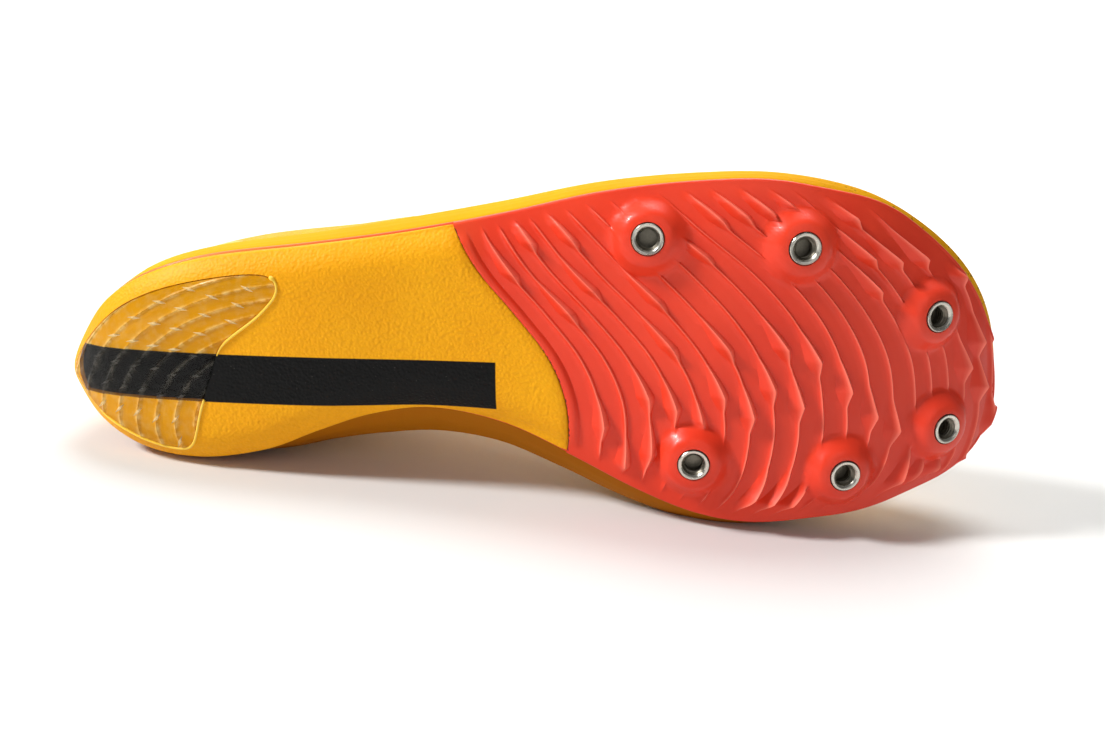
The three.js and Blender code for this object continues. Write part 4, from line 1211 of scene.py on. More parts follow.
# Soft creases: side (-1 lateral, 1 medial), ends as (x, z), depth and width in millimetres.
creaseRows = [
    (-1, 168, 16, 193, 47, 0.9, 3.4), (-1, 181, 14, 205, 42, 0.7, 3.0),
    (-1, 196, 18, 214, 39, 0.45, 2.6), (1, 170, 18, 192, 46, 0.8, 3.4),
    (1, 184, 16, 204, 42, 0.6, 3.0), (-1, 62, 34, 92, 52, 0.6, 5.0), (1, 58, 36, 90, 50, 0.6, 5.0),
    (-1, 112, 40, 132, 70, 0.5, 4.0), (1, 110, 42, 130, 68, 0.5, 4.0),
]


def wallAt(x):
    thick = 1 - smoothstep(x / soleLength, upperSizes["paddingAlong"], upperSizes["vampAlong"])
    return upperSizes["vampWall"] + (upperSizes["heelWall"] - upperSizes["vampWall"]) * thick


def throatCentre(x):
    within = np.clip(x, upperSizes["throatBack"], upperSizes["throatFront"])
    return centreAcross(within) + upperSizes["throatShift"]


# Points of the upper's form at angles of turn from its base line up to its centre line.
def formAt(turn, inset):
    inner = inset(ring[:, 0])
    base = ring + ringOut * (ringProud - upperSizes["setback"] - inner)[:, None]
    power = (2 / smoothColumn(ridgeRows[:, 0], ridgeRows[:, 2], ridgeAlong))[:, None]
    share = np.clip(np.cos(turn), 0, 1) ** power
    share = np.where(turn > math.pi / 2 - 1e-6, 0, share)
    upward = np.sin(turn) ** power
    low = (featherLine(base[:, 0]) + clearance)[:, None]
    high = smoothColumn(ridgeRows[:, 0], ridgeRows[:, 1], ridgeX / soleLength) * last["instepHeight"]
    high = (high - inset(ridgeX))[:, None]
    x = ridgeX[:, None] + (base[:, :1] - ridgeX[:, None]) * share
    y = ridgeY[:, None] + (base[:, 1:] - ridgeY[:, None]) * share
    return np.stack([x, y, low + (high - low) * upward], -1)


def topLine(x):
    return smoothColumn(collarRows[:, 0], collarRows[:, 1], x / soleLength) * last["collarHeight"]


# Positive below the top line and outside the throat, with the corners between them rounded.
def openingAt(points):
    x, y, z = points[..., 0], points[..., 1], points[..., 2]
    collar = topLine(x) - z
    beyond = np.maximum(x - throatEnd, 0) + np.maximum(upperSizes["throatEase"] - x, 0)
    throat = np.hypot(beyond, y - throatCentre(x)) - upperSizes["throatHalf"]
    soft = upperSizes["corner"]
    lap = np.maximum(soft - np.abs(collar - throat), 0) / soft
    return np.minimum(collar, throat) - lap * lap * soft / 4


def openTurns(inset):
    turns = np.linspace(0, math.pi / 2, 301)
    values = openingAt(formAt(np.broadcast_to(turns, (len(ring), len(turns))), inset))
    found = np.full(len(ring), math.pi / 2)
    for i, row in enumerate(values):
        below = np.flatnonzero(row < 0)
        if len(below):
            k = below[0]
            found[i] = np.interp(0, [row[k], row[k - 1]], [turns[k], turns[k - 1]])
    return found


# How far creases push points out of the form: a trough with a soft ridge beside it.
def creaseShift(points):
    x, y, z = points[..., 0], points[..., 1], points[..., 2]
    side = np.sign(y - centreAcross(x))
    shift = np.zeros_like(x)
    for which, x0, z0, x1, z1, depth, width in creaseRows:
        run = np.array([x1 - x0, z1 - z0], float)
        share = ((x - x0) * run[0] + (z - z0) * run[1]) / (run @ run)
        near = np.clip(share, 0, 1)
        off = (x - x0 - run[0] * near) * run[1] - (z - z0 - run[1] * near) * run[0]
        off = off / np.linalg.norm(run)
        ends = np.hypot(x - x0 - run[0] * near, z - z0 - run[1] * near)
        fade = np.exp(-((ends / width) ** 2))
        bulge = np.exp(-(((off - 1.9 * width) / width) ** 2))
        bulge = bulge * np.exp(-((ends / (3 * width)) ** 2))
        shift += (side == which) * depth * (0.55 * bulge - fade)
    return shift


def gridNormals(points):
    around = np.roll(points, -1, axis=0) - np.roll(points, 1, axis=0)
    upward = np.gradient(points, axis=1)
    normal = np.cross(around, upward)
    normal /= np.maximum(np.linalg.norm(normal, axis=-1, keepdims=True), 1e-9)
    top = normal[:, -1] + normal[mates, -1]
    normal[:, -1] = top / np.maximum(np.linalg.norm(top, axis=-1, keepdims=True), 1e-9)
    return normal


def creased(points, closed):
    normal = gridNormals(points)
    if not closed.all():
        rim = points[:, -1]
        around = np.roll(rim, -1, axis=0) - np.roll(rim, 1, axis=0)
        plain = np.cross(around, rim - points[:, -2])
        plain /= np.linalg.norm(plain, axis=-1, keepdims=True)
        normal[:, -1] = np.where(closed[:, None], normal[:, -1], plain)
    return points + normal * creaseShift(points)[..., None]


def upperMaterial():
    # Engineered mesh, knitted in one colour: a matt field of small open cells over a closed base.
    made, tree, where, (yarn,) = newMaterial("knitted polyester mesh", [(0.9, 2.0)])
    forward, _, up = shoeAxes(tree)
    # Real pores are 0.8 mm across: drawn twice as coarse, so that they show.
    sockets = {"Vector": where, "Scale": 1000 / 1.9, "Randomness": 0.85}
    cells = addNode(tree, "ShaderNodeTexVoronoi", sockets, "Distance", feature="DISTANCE_TO_EDGE")
    # A smooth film is welded over the mesh round the toe and the heel.
    film = 0.0
    for height, curve, begins, whole in filmEdges:
        span = addNode(tree, "ShaderNodeMath", {0: up, 1: height}, operation="SUBTRACT")
        square = addNode(tree, "ShaderNodeMath", {0: span, 1: span}, operation="MULTIPLY")
        sockets = {0: square, 1: curve, 2: forward}
        edge = addNode(tree, "ShaderNodeMath", sockets, operation="MULTIPLY_ADD")
        side = addNode(tree, "ShaderNodeMapRange", {0: edge, 1: begins, 2: whole})
        film = addNode(tree, "ShaderNodeMath", {0: film, 1: side}, operation="MAXIMUM")
    pores = addNode(tree, "ShaderNodeMapRange", {0: cells, 1: 0.06, 2: 0.3})
    bare = addNode(tree, "ShaderNodeMath", {0: 1.0, 1: film}, operation="SUBTRACT")
    relief = addNode(tree, "ShaderNodeMath", {0: pores, 1: bare}, operation="MULTIPLY")
    tint = paintOver(tree, linear(upperLook["sun"]), [
        (yarn, 0.3, 0.7, 1.0, upperLook["thread"]),
        (pores, 0.0, 1.0, 0.16, upperLook["pore"]),
        (film, 0.0, 1.0, 1.0, upperLook["film"]),
    ])
    rough = addNode(tree, "ShaderNodeMath", {0: film, 1: -0.35, 2: 0.8}, operation="MULTIPLY_ADD")
    return finishMaterial(made, tint, [(relief, -0.3), (yarn, 0.06), (film, 0.45)], {
        "Roughness": rough,
        "Sheen Weight": 0.15,
        "Sheen Roughness": 0.4,
        "Specular IOR Level": 0.35,
    })


def liningMaterial():
    # Brushed textile lining: dark, dull, with a short nap.
    made, tree, _, (nap,) = newMaterial("brushed textile lining", [(0.8, 4.0)])
    tint = paintOver(tree, linear("#1d1b19"), [(nap, 0.0, 1.0, 1.0, "#35312c")])
    return finishMaterial(made, tint, [(nap, 0.15)], {
        "Roughness": 0.9, "Sheen Weight": 0.3, "Sheen Roughness": 0.5, "Specular IOR Level": 0.2,
    })


lining = liningMaterial()
knit = upperMaterial()


def makeUpper():
    outerTurn, innerTurn = openTurns(np.zeros_like), openTurns(wallAt)
    closed = (outerTurn > math.pi / 2 - 1e-6) & (innerTurn > math.pi / 2 - 1e-6)
    rows = [np.linspace(0, 1, upperSizes[key]) ** 1.5 for key in ("outerRows", "innerRows")]
    outer = creased(formAt(outerTurn[:, None] * rows[0], np.zeros_like), closed)
    inner = creased(formAt(innerTurn[:, None] * rows[1], wallAt), closed)
    tangent = outer[:, -1] - outer[:, -3]
    tangent /= np.linalg.norm(tangent, axis=1)[:, None]
    middle = (outer[:, -1] + inner[:, -1]) / 2
    spread = outer[:, -1] - middle
    reach = np.linalg.norm(spread, axis=1)[:, None]
    levels = [outer[:, k] for k in range(outer.shape[1])]
    for turn in np.linspace(0, math.pi, upperSizes["rimRows"] + 2)[1:-1]:
        levels.append(middle + spread * math.cos(turn) + tangent * reach * math.sin(turn))
    levels += [inner[:, k] for k in range(inner.shape[1] - 1, -1, -1)]
    count, total = len(ring), len(levels)
    first, final = outer.shape[1] - 1, outer.shape[1] + upperSizes["rimRows"]
    faces, slots = [], []
    for level in range(total):
        upward = (level + 1) % total
        for i in range(count):
            j = (i + 1) % count
            if first <= level < final and closed[i] and closed[j]:
                continue
            low, high = level * count, upward * count
            faces.append([low + i, low + j, high + j, high + i])
            slots.append(0 if level < (first + final) // 2 else 1)
    return makePiece("upper_knit", np.concatenate(levels), faces, [knit, lining], slots, angle=60)


def fullForm():
    rows = np.linspace(0, 1, 50) ** 1.5 * math.pi / 2
    points = formAt(np.broadcast_to(rows, (len(ring), len(rows))), np.zeros_like)
    points = creased(points, np.ones(len(ring), bool))
    count, levels = points.shape[:2]
    flat = points.transpose(1, 0, 2).reshape(-1, 3)
    return BVHTree.FromPolygons([tuple(p) for p in flat], ringFaces(levels, count))


formTree = fullForm()


# Points on the upper's form above plan places, and the way out of the form there.
def onForm(x, y):
    spots, outward = [], []
    reach = 0.8
    for a, b in zip(np.ravel(x), np.ravel(y)):
        hits = []
        for p, q in ((a, b), (a + reach, b), (a, b + reach)):
            found = formTree.ray_cast(Vector((p, q, 200)), Vector((0, 0, -1)))[0]
            hits.append(found if found is not None else Vector((p, q, 40)))
        spots.append(hits[0])
        outward.append((hits[1] - hits[0]).cross(hits[2] - hits[0]).normalized())
    shape = np.shape(x) + (3,)
    return np.array(spots).reshape(shape), np.array(outward).reshape(shape)


# A closed sheet on a grid of base points, from low to high above them, with softened edges.
def slab(spots, outward, low, high, soft=0.4):
    rows, columns = spots.shape[:2]
    index = np.arange(rows * columns).reshape(rows, columns)
    border = np.zeros((rows, columns), bool)
    border[[0, -1]] = border[:, [0, -1]] = True
    low, high = (np.broadcast_to(level, (rows, columns)) for level in (low, high))
    edgeTop = high - (high - low) * soft
    edgeLow = low + (high - low) * soft * 0.5
    top = spots + outward * np.where(border, edgeTop, high)[..., None]
    under = spots + outward * np.where(border, edgeLow, low)[..., None]
    points = np.concatenate([top.reshape(-1, 3), under.reshape(-1, 3)])
    quads, loop = gridQuads(index), gridLoop(index)
    below = rows * columns
    sides = np.stack([loop, np.roll(loop, -1), np.roll(loop, -1) + below, loop + below], -1)
    return points, quads[:, ::-1].tolist() + (quads + below).tolist() + sides.tolist()


laceSizes = {
    "width": 5.2, "thickness": 1.3, "rows": 6, "inset": 6.0, "backInset": 9.0, "holeRadius": 2.3,
    "pinched": 3.4, "sink": 2.2, "over": 0.75, "under": -0.6, "hump": 5.5,
}


def eyeletPlace(row, side):
    first = throatEnd - laceSizes["inset"]
    final = upperSizes["throatBack"] + laceSizes["backInset"]
    x = first + (final - first) * row / (laceSizes["rows"] - 1)
    aside = upperSizes["throatHalf"] + laceSizes["inset"]
    return x, float(throatCentre(np.array(x))) + side * aside


eyelets = [eyeletPlace(row, side) for row in range(laceSizes["rows"]) for side in (-1, 1)]


def punchEyelets(piece, low, high, sides=28):
    tools = []
    for centre, axis in zip(*onForm(*np.array(eyelets).T)):
        tool = turnedTool(centre, axis, laceSizes["holeRadius"], low, high, sides)
        tools.append((shoePlaces(tool), [list(face.vertices) for face in tool.data.polygons]))
        bpy.data.objects.remove(tool)
    cutWith(piece, rawMesh("punch", *gather(tools)), angle=60)


upper = makeUpper()
punchEyelets(upper, -6, 4)
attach(upper, "root")
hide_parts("upper")
print("upper", len(upper.data.polygons))

eyestaySizes = {
    "thickness": 0.9,
    "offsets": [0.1, 0.5, 1.4, 3, 4.6, 6, 7.5, 9, 10.6, 12.2, 13.6, 14.5, 15],
    "belowTop": 1.5,
}


def filmMaterial():
    # Heat-pressed TPU film: a thin smooth skin with a soft shine.
    made, tree, _, (cloud, fine) = newMaterial("heat-pressed TPU film", [(14, 3.0), (0.6, 2.0)])
    tint = paintOver(tree, linear("#ffb400"), [(cloud, 0.0, 1.0, 1.0, "#ffc21a")])
    return finishMaterial(made, tint, [(fine, 0.05)], {
        "Roughness": 0.4, "Coat Weight": 0.15, "Coat Roughness": 0.3,
    })


# Plan places round the throat at offsets from its edge, from the lateral top round its front.
def throatBand(offsets, sideSteps=70, arcSteps=26):
    columns = []
    for offset in offsets:
        reach = upperSizes["throatHalf"] + offset
        sides = []
        for side in (-1, 1):
            x = np.linspace(upperSizes["throatBack"] - 6, throatEnd, 241)
            spots, _ = onForm(x, throatCentre(x) + side * reach)
            clear = spots[:, 2] < topLine(x) - eyestaySizes["belowTop"]
            clear = clear & (x >= upperSizes["throatBack"])
            run = np.linspace(x[np.flatnonzero(clear)[0]], throatEnd, sideSteps)
            sides.append(np.stack([run, throatCentre(run) + side * reach], 1))
        turn = np.linspace(-math.pi / 2, math.pi / 2, arcSteps + 2)[1:-1]
        x = throatEnd + np.cos(turn) * reach
        arc = np.stack([x, throatCentre(x) + np.sin(turn) * reach], 1)
        columns.append(np.concatenate([sides[0], arc, sides[1][::-1]]))
    return np.stack(columns, 1)


film = filmMaterial()


def makeEyestay():
    plan = throatBand(eyestaySizes["offsets"])
    spots, outward = onForm(plan[..., 0], plan[..., 1])
    high = clearance + eyestaySizes["thickness"]
    points, faces = slab(spots, outward, clearance * 0.3, high, 0.6)
    piece = makePiece("eyestay_pressed", points, faces, [film], angle=50)
    outwardFaces(piece)
    punchEyelets(piece, -3, 4)
    return piece


eyestay = makeEyestay()

tongueSizes = {
    "thickness": 2.2, "halfWidth": 20.0, "top": 82.0, "overrun": 10.0, "taper": 0.25,
    "seamDepth": 0.35, "seamAcross": 7.0, "seamWidth": 0.9,
}


def tongueMaterial():
    # Thin padded knit: the upper's own yarn with a closer, softer surface.
    made, tree, where, (yarn,) = newMaterial("padded knit tongue", [(0.4, 2.0)])
    sockets = {"Vector": where, "Scale": 1000 / 1.2, "Randomness": 0.5}
    cells = addNode(tree, "ShaderNodeTexVoronoi", sockets, "Distance", feature="DISTANCE_TO_EDGE")
    tint = paintOver(tree, linear("#ffbd08"), [(yarn, 0.0, 1.0, 1.0, "#eaa203")])
    return finishMaterial(made, tint, [(cells, 0.12), (yarn, 0.08)], {
        "Roughness": 0.85, "Sheen Weight": 0.2, "Specular IOR Level": 0.3,
    })


def makeTongue():
    start, end = tongueSizes["top"], upperSizes["throatFront"] + tongueSizes["overrun"]
    along = np.linspace(0, 1, 90)[:, None]
    across = np.sin(np.linspace(-1, 1, 31) * math.pi / 2)[None]
    half = tongueSizes["halfWidth"] * (1 - tongueSizes["taper"] * along)
    rounding = np.minimum(1, (1 - (1 - np.clip(along / 0.09, 0, 1)) ** 2.4) * 0.45 + 0.55)
    x = start + (end - start) * along + 0 * across
    y = throatCentre(x) + half * rounding * across
    spots, outward = onForm(x, y)
    high = -wallAt(x) - clearance
    aside = (np.abs(y - throatCentre(x)) - tongueSizes["seamAcross"]) / tongueSizes["seamWidth"]
    quilting = tongueSizes["seamDepth"] * np.exp(-(aside**2)) * (x < upperSizes["throatFront"])
    low = high - tongueSizes["thickness"]
    points, faces = slab(spots, outward, low, high - quilting, 0.5)
    piece = makePiece("tongue_padded", points, faces, [tongueMaterial()], angle=60)
    outwardFaces(piece)
    return piece


tongue = makeTongue()
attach(tongue, "root")
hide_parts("tongue")


insoleSizes = {"thickness": 3.0, "edgeRound": 0.7}


def makeInsole():
    inner = ringProud - upperSizes["setback"] - wallAt(ring[:, 0]) - clearance
    thick, edge = insoleSizes["thickness"], insoleSizes["edgeRound"]
    rows = [(share, 0, 0) for share in (0, 0.5, 1)]
    rows += [(1, 0, 0.6), (1, -0.25, 0.85), (1, -edge, 1)]
    rows += [(share, -edge, 1) for share in (0.8, 0.5, 0.25, 0)]
    rings = []
    for share, out, up in rows:
        lift = clearance + thick * up
        rings.append(ringAt(share, inner + out, lambda x, far: featherLine(x) + lift))
    faces = ringFaces(len(rings), len(ring))
    return makePiece("insole_liner", np.concatenate(rings), faces, [lining], angle=60)


insole = makeInsole()
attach(insole, "root")
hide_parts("insole")


def laceMaterial():
    # Flat-woven polyester lace: black with a fine bias weave and a dull sheen.
    made, tree, _, _ = newMaterial("flat-woven polyester lace", [])
    strand = addNode(tree, "ShaderNodeAttribute", output="Vector", attribute_name="strand")
    along, across, _ = addNode(tree, "ShaderNodeSeparateXYZ", {0: strand}, None)
    off = addNode(tree, "ShaderNodeMath", {0: across}, operation="ABSOLUTE")
    bias = addNode(tree, "ShaderNodeMath", {0: along, 1: off}, operation="ADD")
    waves = []
    for source, turns in ((bias, 7.5), (across, 11.0)):
        wide = addNode(tree, "ShaderNodeMath", {0: source, 1: turns}, operation="MULTIPLY")
        waves.append(addNode(tree, "ShaderNodeMath", {0: wide}, operation="SINE"))
    weave = addNode(tree, "ShaderNodeMath", {0: waves[0], 1: waves[1]}, operation="MULTIPLY")
    tint = paintOver(tree, linear("#0d0c0b"), [(weave, -1.0, 1.0, 1.0, "#2b2926")])
    return finishMaterial(made, tint, [(weave, 0.12)], {
        "Roughness": 0.75, "Sheen Weight": 0.06, "Specular IOR Level": 0.25,
    })


# One run of lace from eyelet to eyelet. rise is how far it humps over or ducks under its
# neighbour where they cross.
def laceRun(start, end, rise):
    start, end = np.array(start), np.array(end)
    span = np.linalg.norm(end - start)
    run = (end - start) / span
    steps = np.linspace(0, 1, 44)
    reach = np.minimum(steps, 1 - steps) * span
    centre = start + run * (steps[:, None] * span)
    spots, outward = onForm(centre[:, 0], centre[:, 1])
    dip = smoothstep(reach, 0.4, 4.2)
    sink, pinched = laceSizes["sink"], laceSizes["pinched"]
    lift = -sink + (2 * clearance + eyestaySizes["thickness"] + sink) * dip
    lift = lift + rise * np.exp(-(((steps - 0.5) * span / laceSizes["hump"]) ** 2))
    width = (pinched + (laceSizes["width"] - pinched) * smoothstep(reach, 1.5, 6)) / 2
    thick = laceSizes["thickness"] * (1 + 0.35 * (1 - dip))
    across = np.array([-1, -0.82, -0.4, 0, 0.4, 0.82, 1])
    along3 = np.gradient(spots + outward * lift[:, None], axis=0)
    along3 /= np.linalg.norm(along3, axis=1)[:, None]
    side3 = np.cross(outward, along3)
    side3 /= np.linalg.norm(side3, axis=1)[:, None]
    up3 = np.cross(along3, side3)
    base = spots + outward * lift[:, None]
    grid = base[:, None] + side3[:, None] * (across[None, :, None] * width[:, None, None])
    normals = np.broadcast_to(up3[:, None], grid.shape)
    points, faces = slab(grid, normals, 0, thick[:, None], 0.5)
    strand = np.zeros(points.shape)
    strand[:, 0] = np.tile(np.repeat(steps * span, len(across)), 2)
    strand[:, 1] = np.tile((across[None] * width[:, None]).ravel(), 2)
    return points, faces, strand


def makeLace():
    runs = [laceRun(eyelets[0], eyelets[1], 0)]
    for row in range(laceSizes["rows"] - 1):
        low = eyelets[2 * row : 2 * row + 2]
        high = eyelets[2 * row + 2 : 2 * row + 4]
        first, second = ("over", "under") if row % 2 else ("under", "over")
        runs.append(laceRun(low[0], high[1], laceSizes[first]))
        runs.append(laceRun(low[1], high[0], laceSizes[second]))
    points, faces = gather(run[:2] for run in runs)
    piece = makePiece("lace_flat", points, faces, [laceMaterial()])
    outwardFaces(piece)
    keepOnPoints(piece.data, "strand", np.concatenate([run[2] for run in runs]))
    return piece


lace = makeLace()
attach(lace, "root")
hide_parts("lace")
print("tongue, eyestay, insole and lace")


# Sets one small shape on every place: each place has an attribute along and an attribute up.
# build adds the shape's nodes and returns its geometry; sizes are the tree's named inputs. A shape
# of several materials sets them itself.
def setOnPlaces(name, places, along, up, sizes, build, material=None):
    cloud = bpy.data.meshes.new(name)
    cloud.from_pydata(toRow(np.asarray(places, float)), [], [])
    for key, rows in (("along", along), ("up", up)):
        keepOnPoints(cloud, key, np.asarray(rows, float) @ layDown[:, :3].T)
    piece = addObject(name, cloud)
    tree = bpy.data.node_groups.new(name, "GeometryNodeTree")
    for way in ("INPUT", "OUTPUT"):
        tree.interface.new_socket(name="Geometry", in_out=way, socket_type="NodeSocketGeometry")
    ids = {}
    for key in sizes:
        socket = tree.interface.new_socket(name=key, in_out="INPUT", socket_type="NodeSocketFloat")
        ids[key] = socket.identifier
    given = addNode(tree, "NodeGroupInput", output=None)
    shape = build(tree, {key: given[key] for key in sizes})
    kind = "GeometryNodeInputNamedAttribute"
    ahead, outward = (
        addNode(tree, kind, {"Name": key}, "Attribute", data_type="FLOAT_VECTOR")
        for key in ("along", "up")
    )
    turned = addNode(tree, "FunctionNodeAxesToRotation", {0: outward, 1: ahead},
                     primary_axis="Z", secondary_axis="X")
    sockets = {"Points": given["Geometry"], "Instance": shape, "Rotation": turned}
    placed = addNode(tree, "GeometryNodeInstanceOnPoints", sockets)
    real = addNode(tree, "GeometryNodeRealizeInstances", {0: placed})
    if material is not None:
        real = addNode(tree, "GeometryNodeSetMaterial", {"Geometry": real, "Material": material})
    smooth = addNode(tree, "GeometryNodeSetShadeSmooth", {"Geometry": real})
    addNode(tree, "NodeGroupOutput", {0: smooth}, None)
    modifier = piece.modifiers.new("places", "NODES")
    modifier.node_group = tree
    for key, identifier in ids.items():
        modifier[identifier] = sizes[key]
    settle(piece)
    listed = [kept for kept in piece.data.materials if kept is not None]
    before = [listed.index(kept) if kept is not None else 0 for kept in piece.data.materials]
    slots = [before[face.material_index] for face in piece.data.polygons]
    giveMaterials(piece, listed, slots)
    return piece


# The tree's sizes, given in mm, as nodes in metres or in a share of them.
def scaledSizes(tree, sizes, scale=0.001):
    return {
        key: addNode(tree, "ShaderNodeMath", {0: size, 1: scale}, operation="MULTIPLY")
        for key, size in sizes.items()
    }


def steelMaterial():
    # Turned, nickel-plated steel: bright, with faint rings from the lathe.
    name, grains = "turned nickel-plated steel", [(0.5, 3.0), (3.0, 2.0)]
    made, tree, _, (grain, cloud) = newMaterial(name, grains)
    tint = paintOver(tree, linear("#b9b4a8"), [(cloud, 0.0, 1.0, 1.0, "#d8d4ca")])
    rough = addNode(tree, "ShaderNodeMapRange", {0: cloud, 1: 0.3, 2: 0.7, 3: 0.2, 4: 0.34})
    return finishMaterial(made, tint, [(grain, 0.02)], {"Metallic": 1.0, "Roughness": rough})


def boreMaterial():
    # Cut steel thread deep in the bore: darker and duller than the plated collar.
    made, tree, _, (grain,) = newMaterial("cut steel thread", [(0.6, 2.0)])
    tint = paintOver(tree, linear("#6d675c"), [(grain, 0.0, 1.0, 1.0, "#8e887b")])
    return finishMaterial(made, tint, [(grain, 0.03)], {"Metallic": 1.0, "Roughness": 0.42})


steel, cutSteel = steelMaterial(), boreMaterial()


# One ring of an insert, turned from a section with its corners eased.
def insertRing(tree, inner, outer, low, high, slant, material):
    lathe = 0.001  # the circle that the section is swept along, in metres
    sockets = {"Resolution": 56, "Radius": lathe}
    path = addNode(tree, "GeometryNodeCurvePrimitiveCircle", sockets)
    mouth = addNode(tree, "ShaderNodeMath", {0: inner, 1: slant}, operation="ADD")
    corners = {}
    for i, (x, y) in enumerate(((outer, low), (outer, high), (mouth, high), (inner, low))):
        down = addNode(tree, "ShaderNodeMath", {0: y, 1: -1.0}, operation="MULTIPLY")
        aside = addNode(tree, "ShaderNodeMath", {0: x, 1: lathe}, operation="SUBTRACT")
        corners[f"Point {i + 1}"] = addNode(tree, "ShaderNodeCombineXYZ", {0: aside, 1: down})
    section = addNode(tree, "GeometryNodeCurvePrimitiveQuadrilateral", corners, mode="POINTS")
    eased = addNode(tree, "GeometryNodeFilletCurve", {"Curve": section, "Radius": 0.00016})
    made = addNode(tree, "GeometryNodeCurveToMesh", {"Curve": path, "Profile Curve": eased})
    return addNode(tree, "GeometryNodeSetMaterial", {"Geometry": made, "Material": material})


# A threaded insert: a countersunk collar, a barrel with its thread, and the bore's floor.
def insertShape(tree, sizes):
    size = scaledSizes(tree, sizes)
    bore, outer, top, bottom = (size[k] for k in ("Thread radius", "Outer radius", "Top", "Bottom"))
    sockets = {0: top, 1: size["Countersink depth"]}
    shoulder = addNode(tree, "ShaderNodeMath", sockets, operation="SUBTRACT")
    sockets = {0: size["Countersink radius"], 1: bore}
    slant = addNode(tree, "ShaderNodeMath", sockets, operation="SUBTRACT")
    inward = addNode(tree, "ShaderNodeMath", {0: outer, 1: 0.00005}, operation="SUBTRACT")
    under = addNode(tree, "ShaderNodeMath", {0: shoulder, 1: 0.00002}, operation="SUBTRACT")
    collar = insertRing(tree, bore, outer, shoulder, top, slant, steel)
    barrel = insertRing(tree, bore, inward, bottom, under, 0.0, cutSteel)
    length = addNode(tree, "ShaderNodeMath", {0: shoulder, 1: bottom}, operation="SUBTRACT")
    turns = addNode(tree, "ShaderNodeMath", {0: length, 1: size["Pitch"]}, operation="DIVIDE")
    spiral = addNode(tree, "GeometryNodeCurveSpiral", {
        "Resolution": 36, "Rotations": turns, "Start Radius": bore, "End Radius": bore,
        "Height": length,
    })
    start = addNode(tree, "ShaderNodeCombineXYZ", {2: bottom})
    lifted = addNode(tree, "GeometryNodeTransform", {"Geometry": spiral, "Translation": start})
    depth = addNode(tree, "ShaderNodeMath", {0: size["Pitch"], 1: 0.42}, operation="MULTIPLY")
    tooth = addNode(tree, "GeometryNodeCurvePrimitiveCircle", {"Resolution": 4, "Radius": depth})
    sockets = {"Curve": lifted, "Profile Curve": tooth, "Fill Caps": True}
    thread = addNode(tree, "GeometryNodeCurveToMesh", sockets)
    wide = addNode(tree, "ShaderNodeMath", {0: bore, 1: 0.0004}, operation="ADD")
    sockets = {"Vertices": 40, "Radius": wide, "Depth": 0.0008}
    disc = addNode(tree, "GeometryNodeMeshCylinder", sockets)
    level = addNode(tree, "ShaderNodeMath", {0: bottom, 1: 0.0006}, operation="ADD")
    level = addNode(tree, "ShaderNodeCombineXYZ", {2: level})
    floor = addNode(tree, "GeometryNodeTransform", {"Geometry": disc, "Translation": level})
    parts = [collar, barrel]
    for part in (thread, floor):
        sockets = {"Geometry": part, "Material": cutSteel}
        parts.append(addNode(tree, "GeometryNodeSetMaterial", sockets))
    return addNode(tree, "GeometryNodeJoinGeometry", {0: parts})


insertSizes = {
    "Outer radius": 4.4, "Thread radius": 2.95, "Countersink radius": 3.6, "Countersink depth": 0.9,
    "Top": 4.55, "Bottom": -1.7, "Pitch": 0.8,
}


def makeReceptacles():
    places, axes = zip(*(receptacleFrame(*row) for row in receptacleRows.values()))
    aside = np.cross(axes, [0, 1, 0])
    piece = setOnPlaces("receptacles_threaded", places, aside, axes, insertSizes, insertShape)
    outwardFaces(piece)
    shade(piece, 40)
    return piece


receptacles = makeReceptacles()
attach(receptacles, "root")
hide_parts(*[f"receptacle_{name}" for name in receptacleRows])
print("receptacles", len(receptacles.data.polygons))

stitchSizes = {"Length": 2.2, "Width": 0.9, "Height": 0.8}
stitchLayout = {"pitch": 2.7, "fromThroat": 12.8}


def threadMaterial():
    # Bonded polyester thread: round, pulled tight, with a soft shine.
    made, tree, where, _ = newMaterial("bonded polyester thread", [])
    sockets = {"Vector": where, "Scale": 1000 / 0.8, "Distortion": 1.0}
    twist = addNode(tree, "ShaderNodeTexWave", sockets, "Fac")
    tint = paintOver(tree, linear("#d98a00"), [(twist, 0.0, 1.0, 1.0, "#eda71a")])
    return finishMaterial(made, tint, [(twist, 0.05)], {"Roughness": 0.5, "Sheen Weight": 0.1})


def stitchShape(tree, sizes):
    half = scaledSizes(tree, sizes, 0.0005)
    sockets = {"Segments": 8, "Rings": 5, "Radius": 1.0}
    knot = addNode(tree, "GeometryNodeMeshUVSphere", sockets)
    sockets = {i: half[key] for i, key in enumerate(("Length", "Width", "Height"))}
    drawn = addNode(tree, "ShaderNodeCombineXYZ", sockets)
    return addNode(tree, "GeometryNodeTransform", {"Geometry": knot, "Scale": drawn})


# Places at even steps along a path.
def evenPlaces(path, pitch):
    span = np.concatenate([[0], np.cumsum(np.linalg.norm(np.diff(path, axis=0), axis=1))])
    at = np.arange(pitch / 2, span[-1], pitch)
    return np.stack([np.interp(at, span, path[:, i]) for i in range(path.shape[1])], 1)


def makeStitches():
    plan = evenPlaces(throatBand([stitchLayout["fromThroat"]])[:, 0], stitchLayout["pitch"])
    spots, outward = onForm(plan[:, 0], plan[:, 1])
    spots = spots + outward * (clearance + eyestaySizes["thickness"])
    ahead = np.gradient(spots, axis=0)
    return setOnPlaces("eyestay_stitches", spots, ahead, outward, stitchSizes, stitchShape,
                       threadMaterial())


joinInto(eyestay, makeStitches())
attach(eyestay, "root")
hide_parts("eyestay")


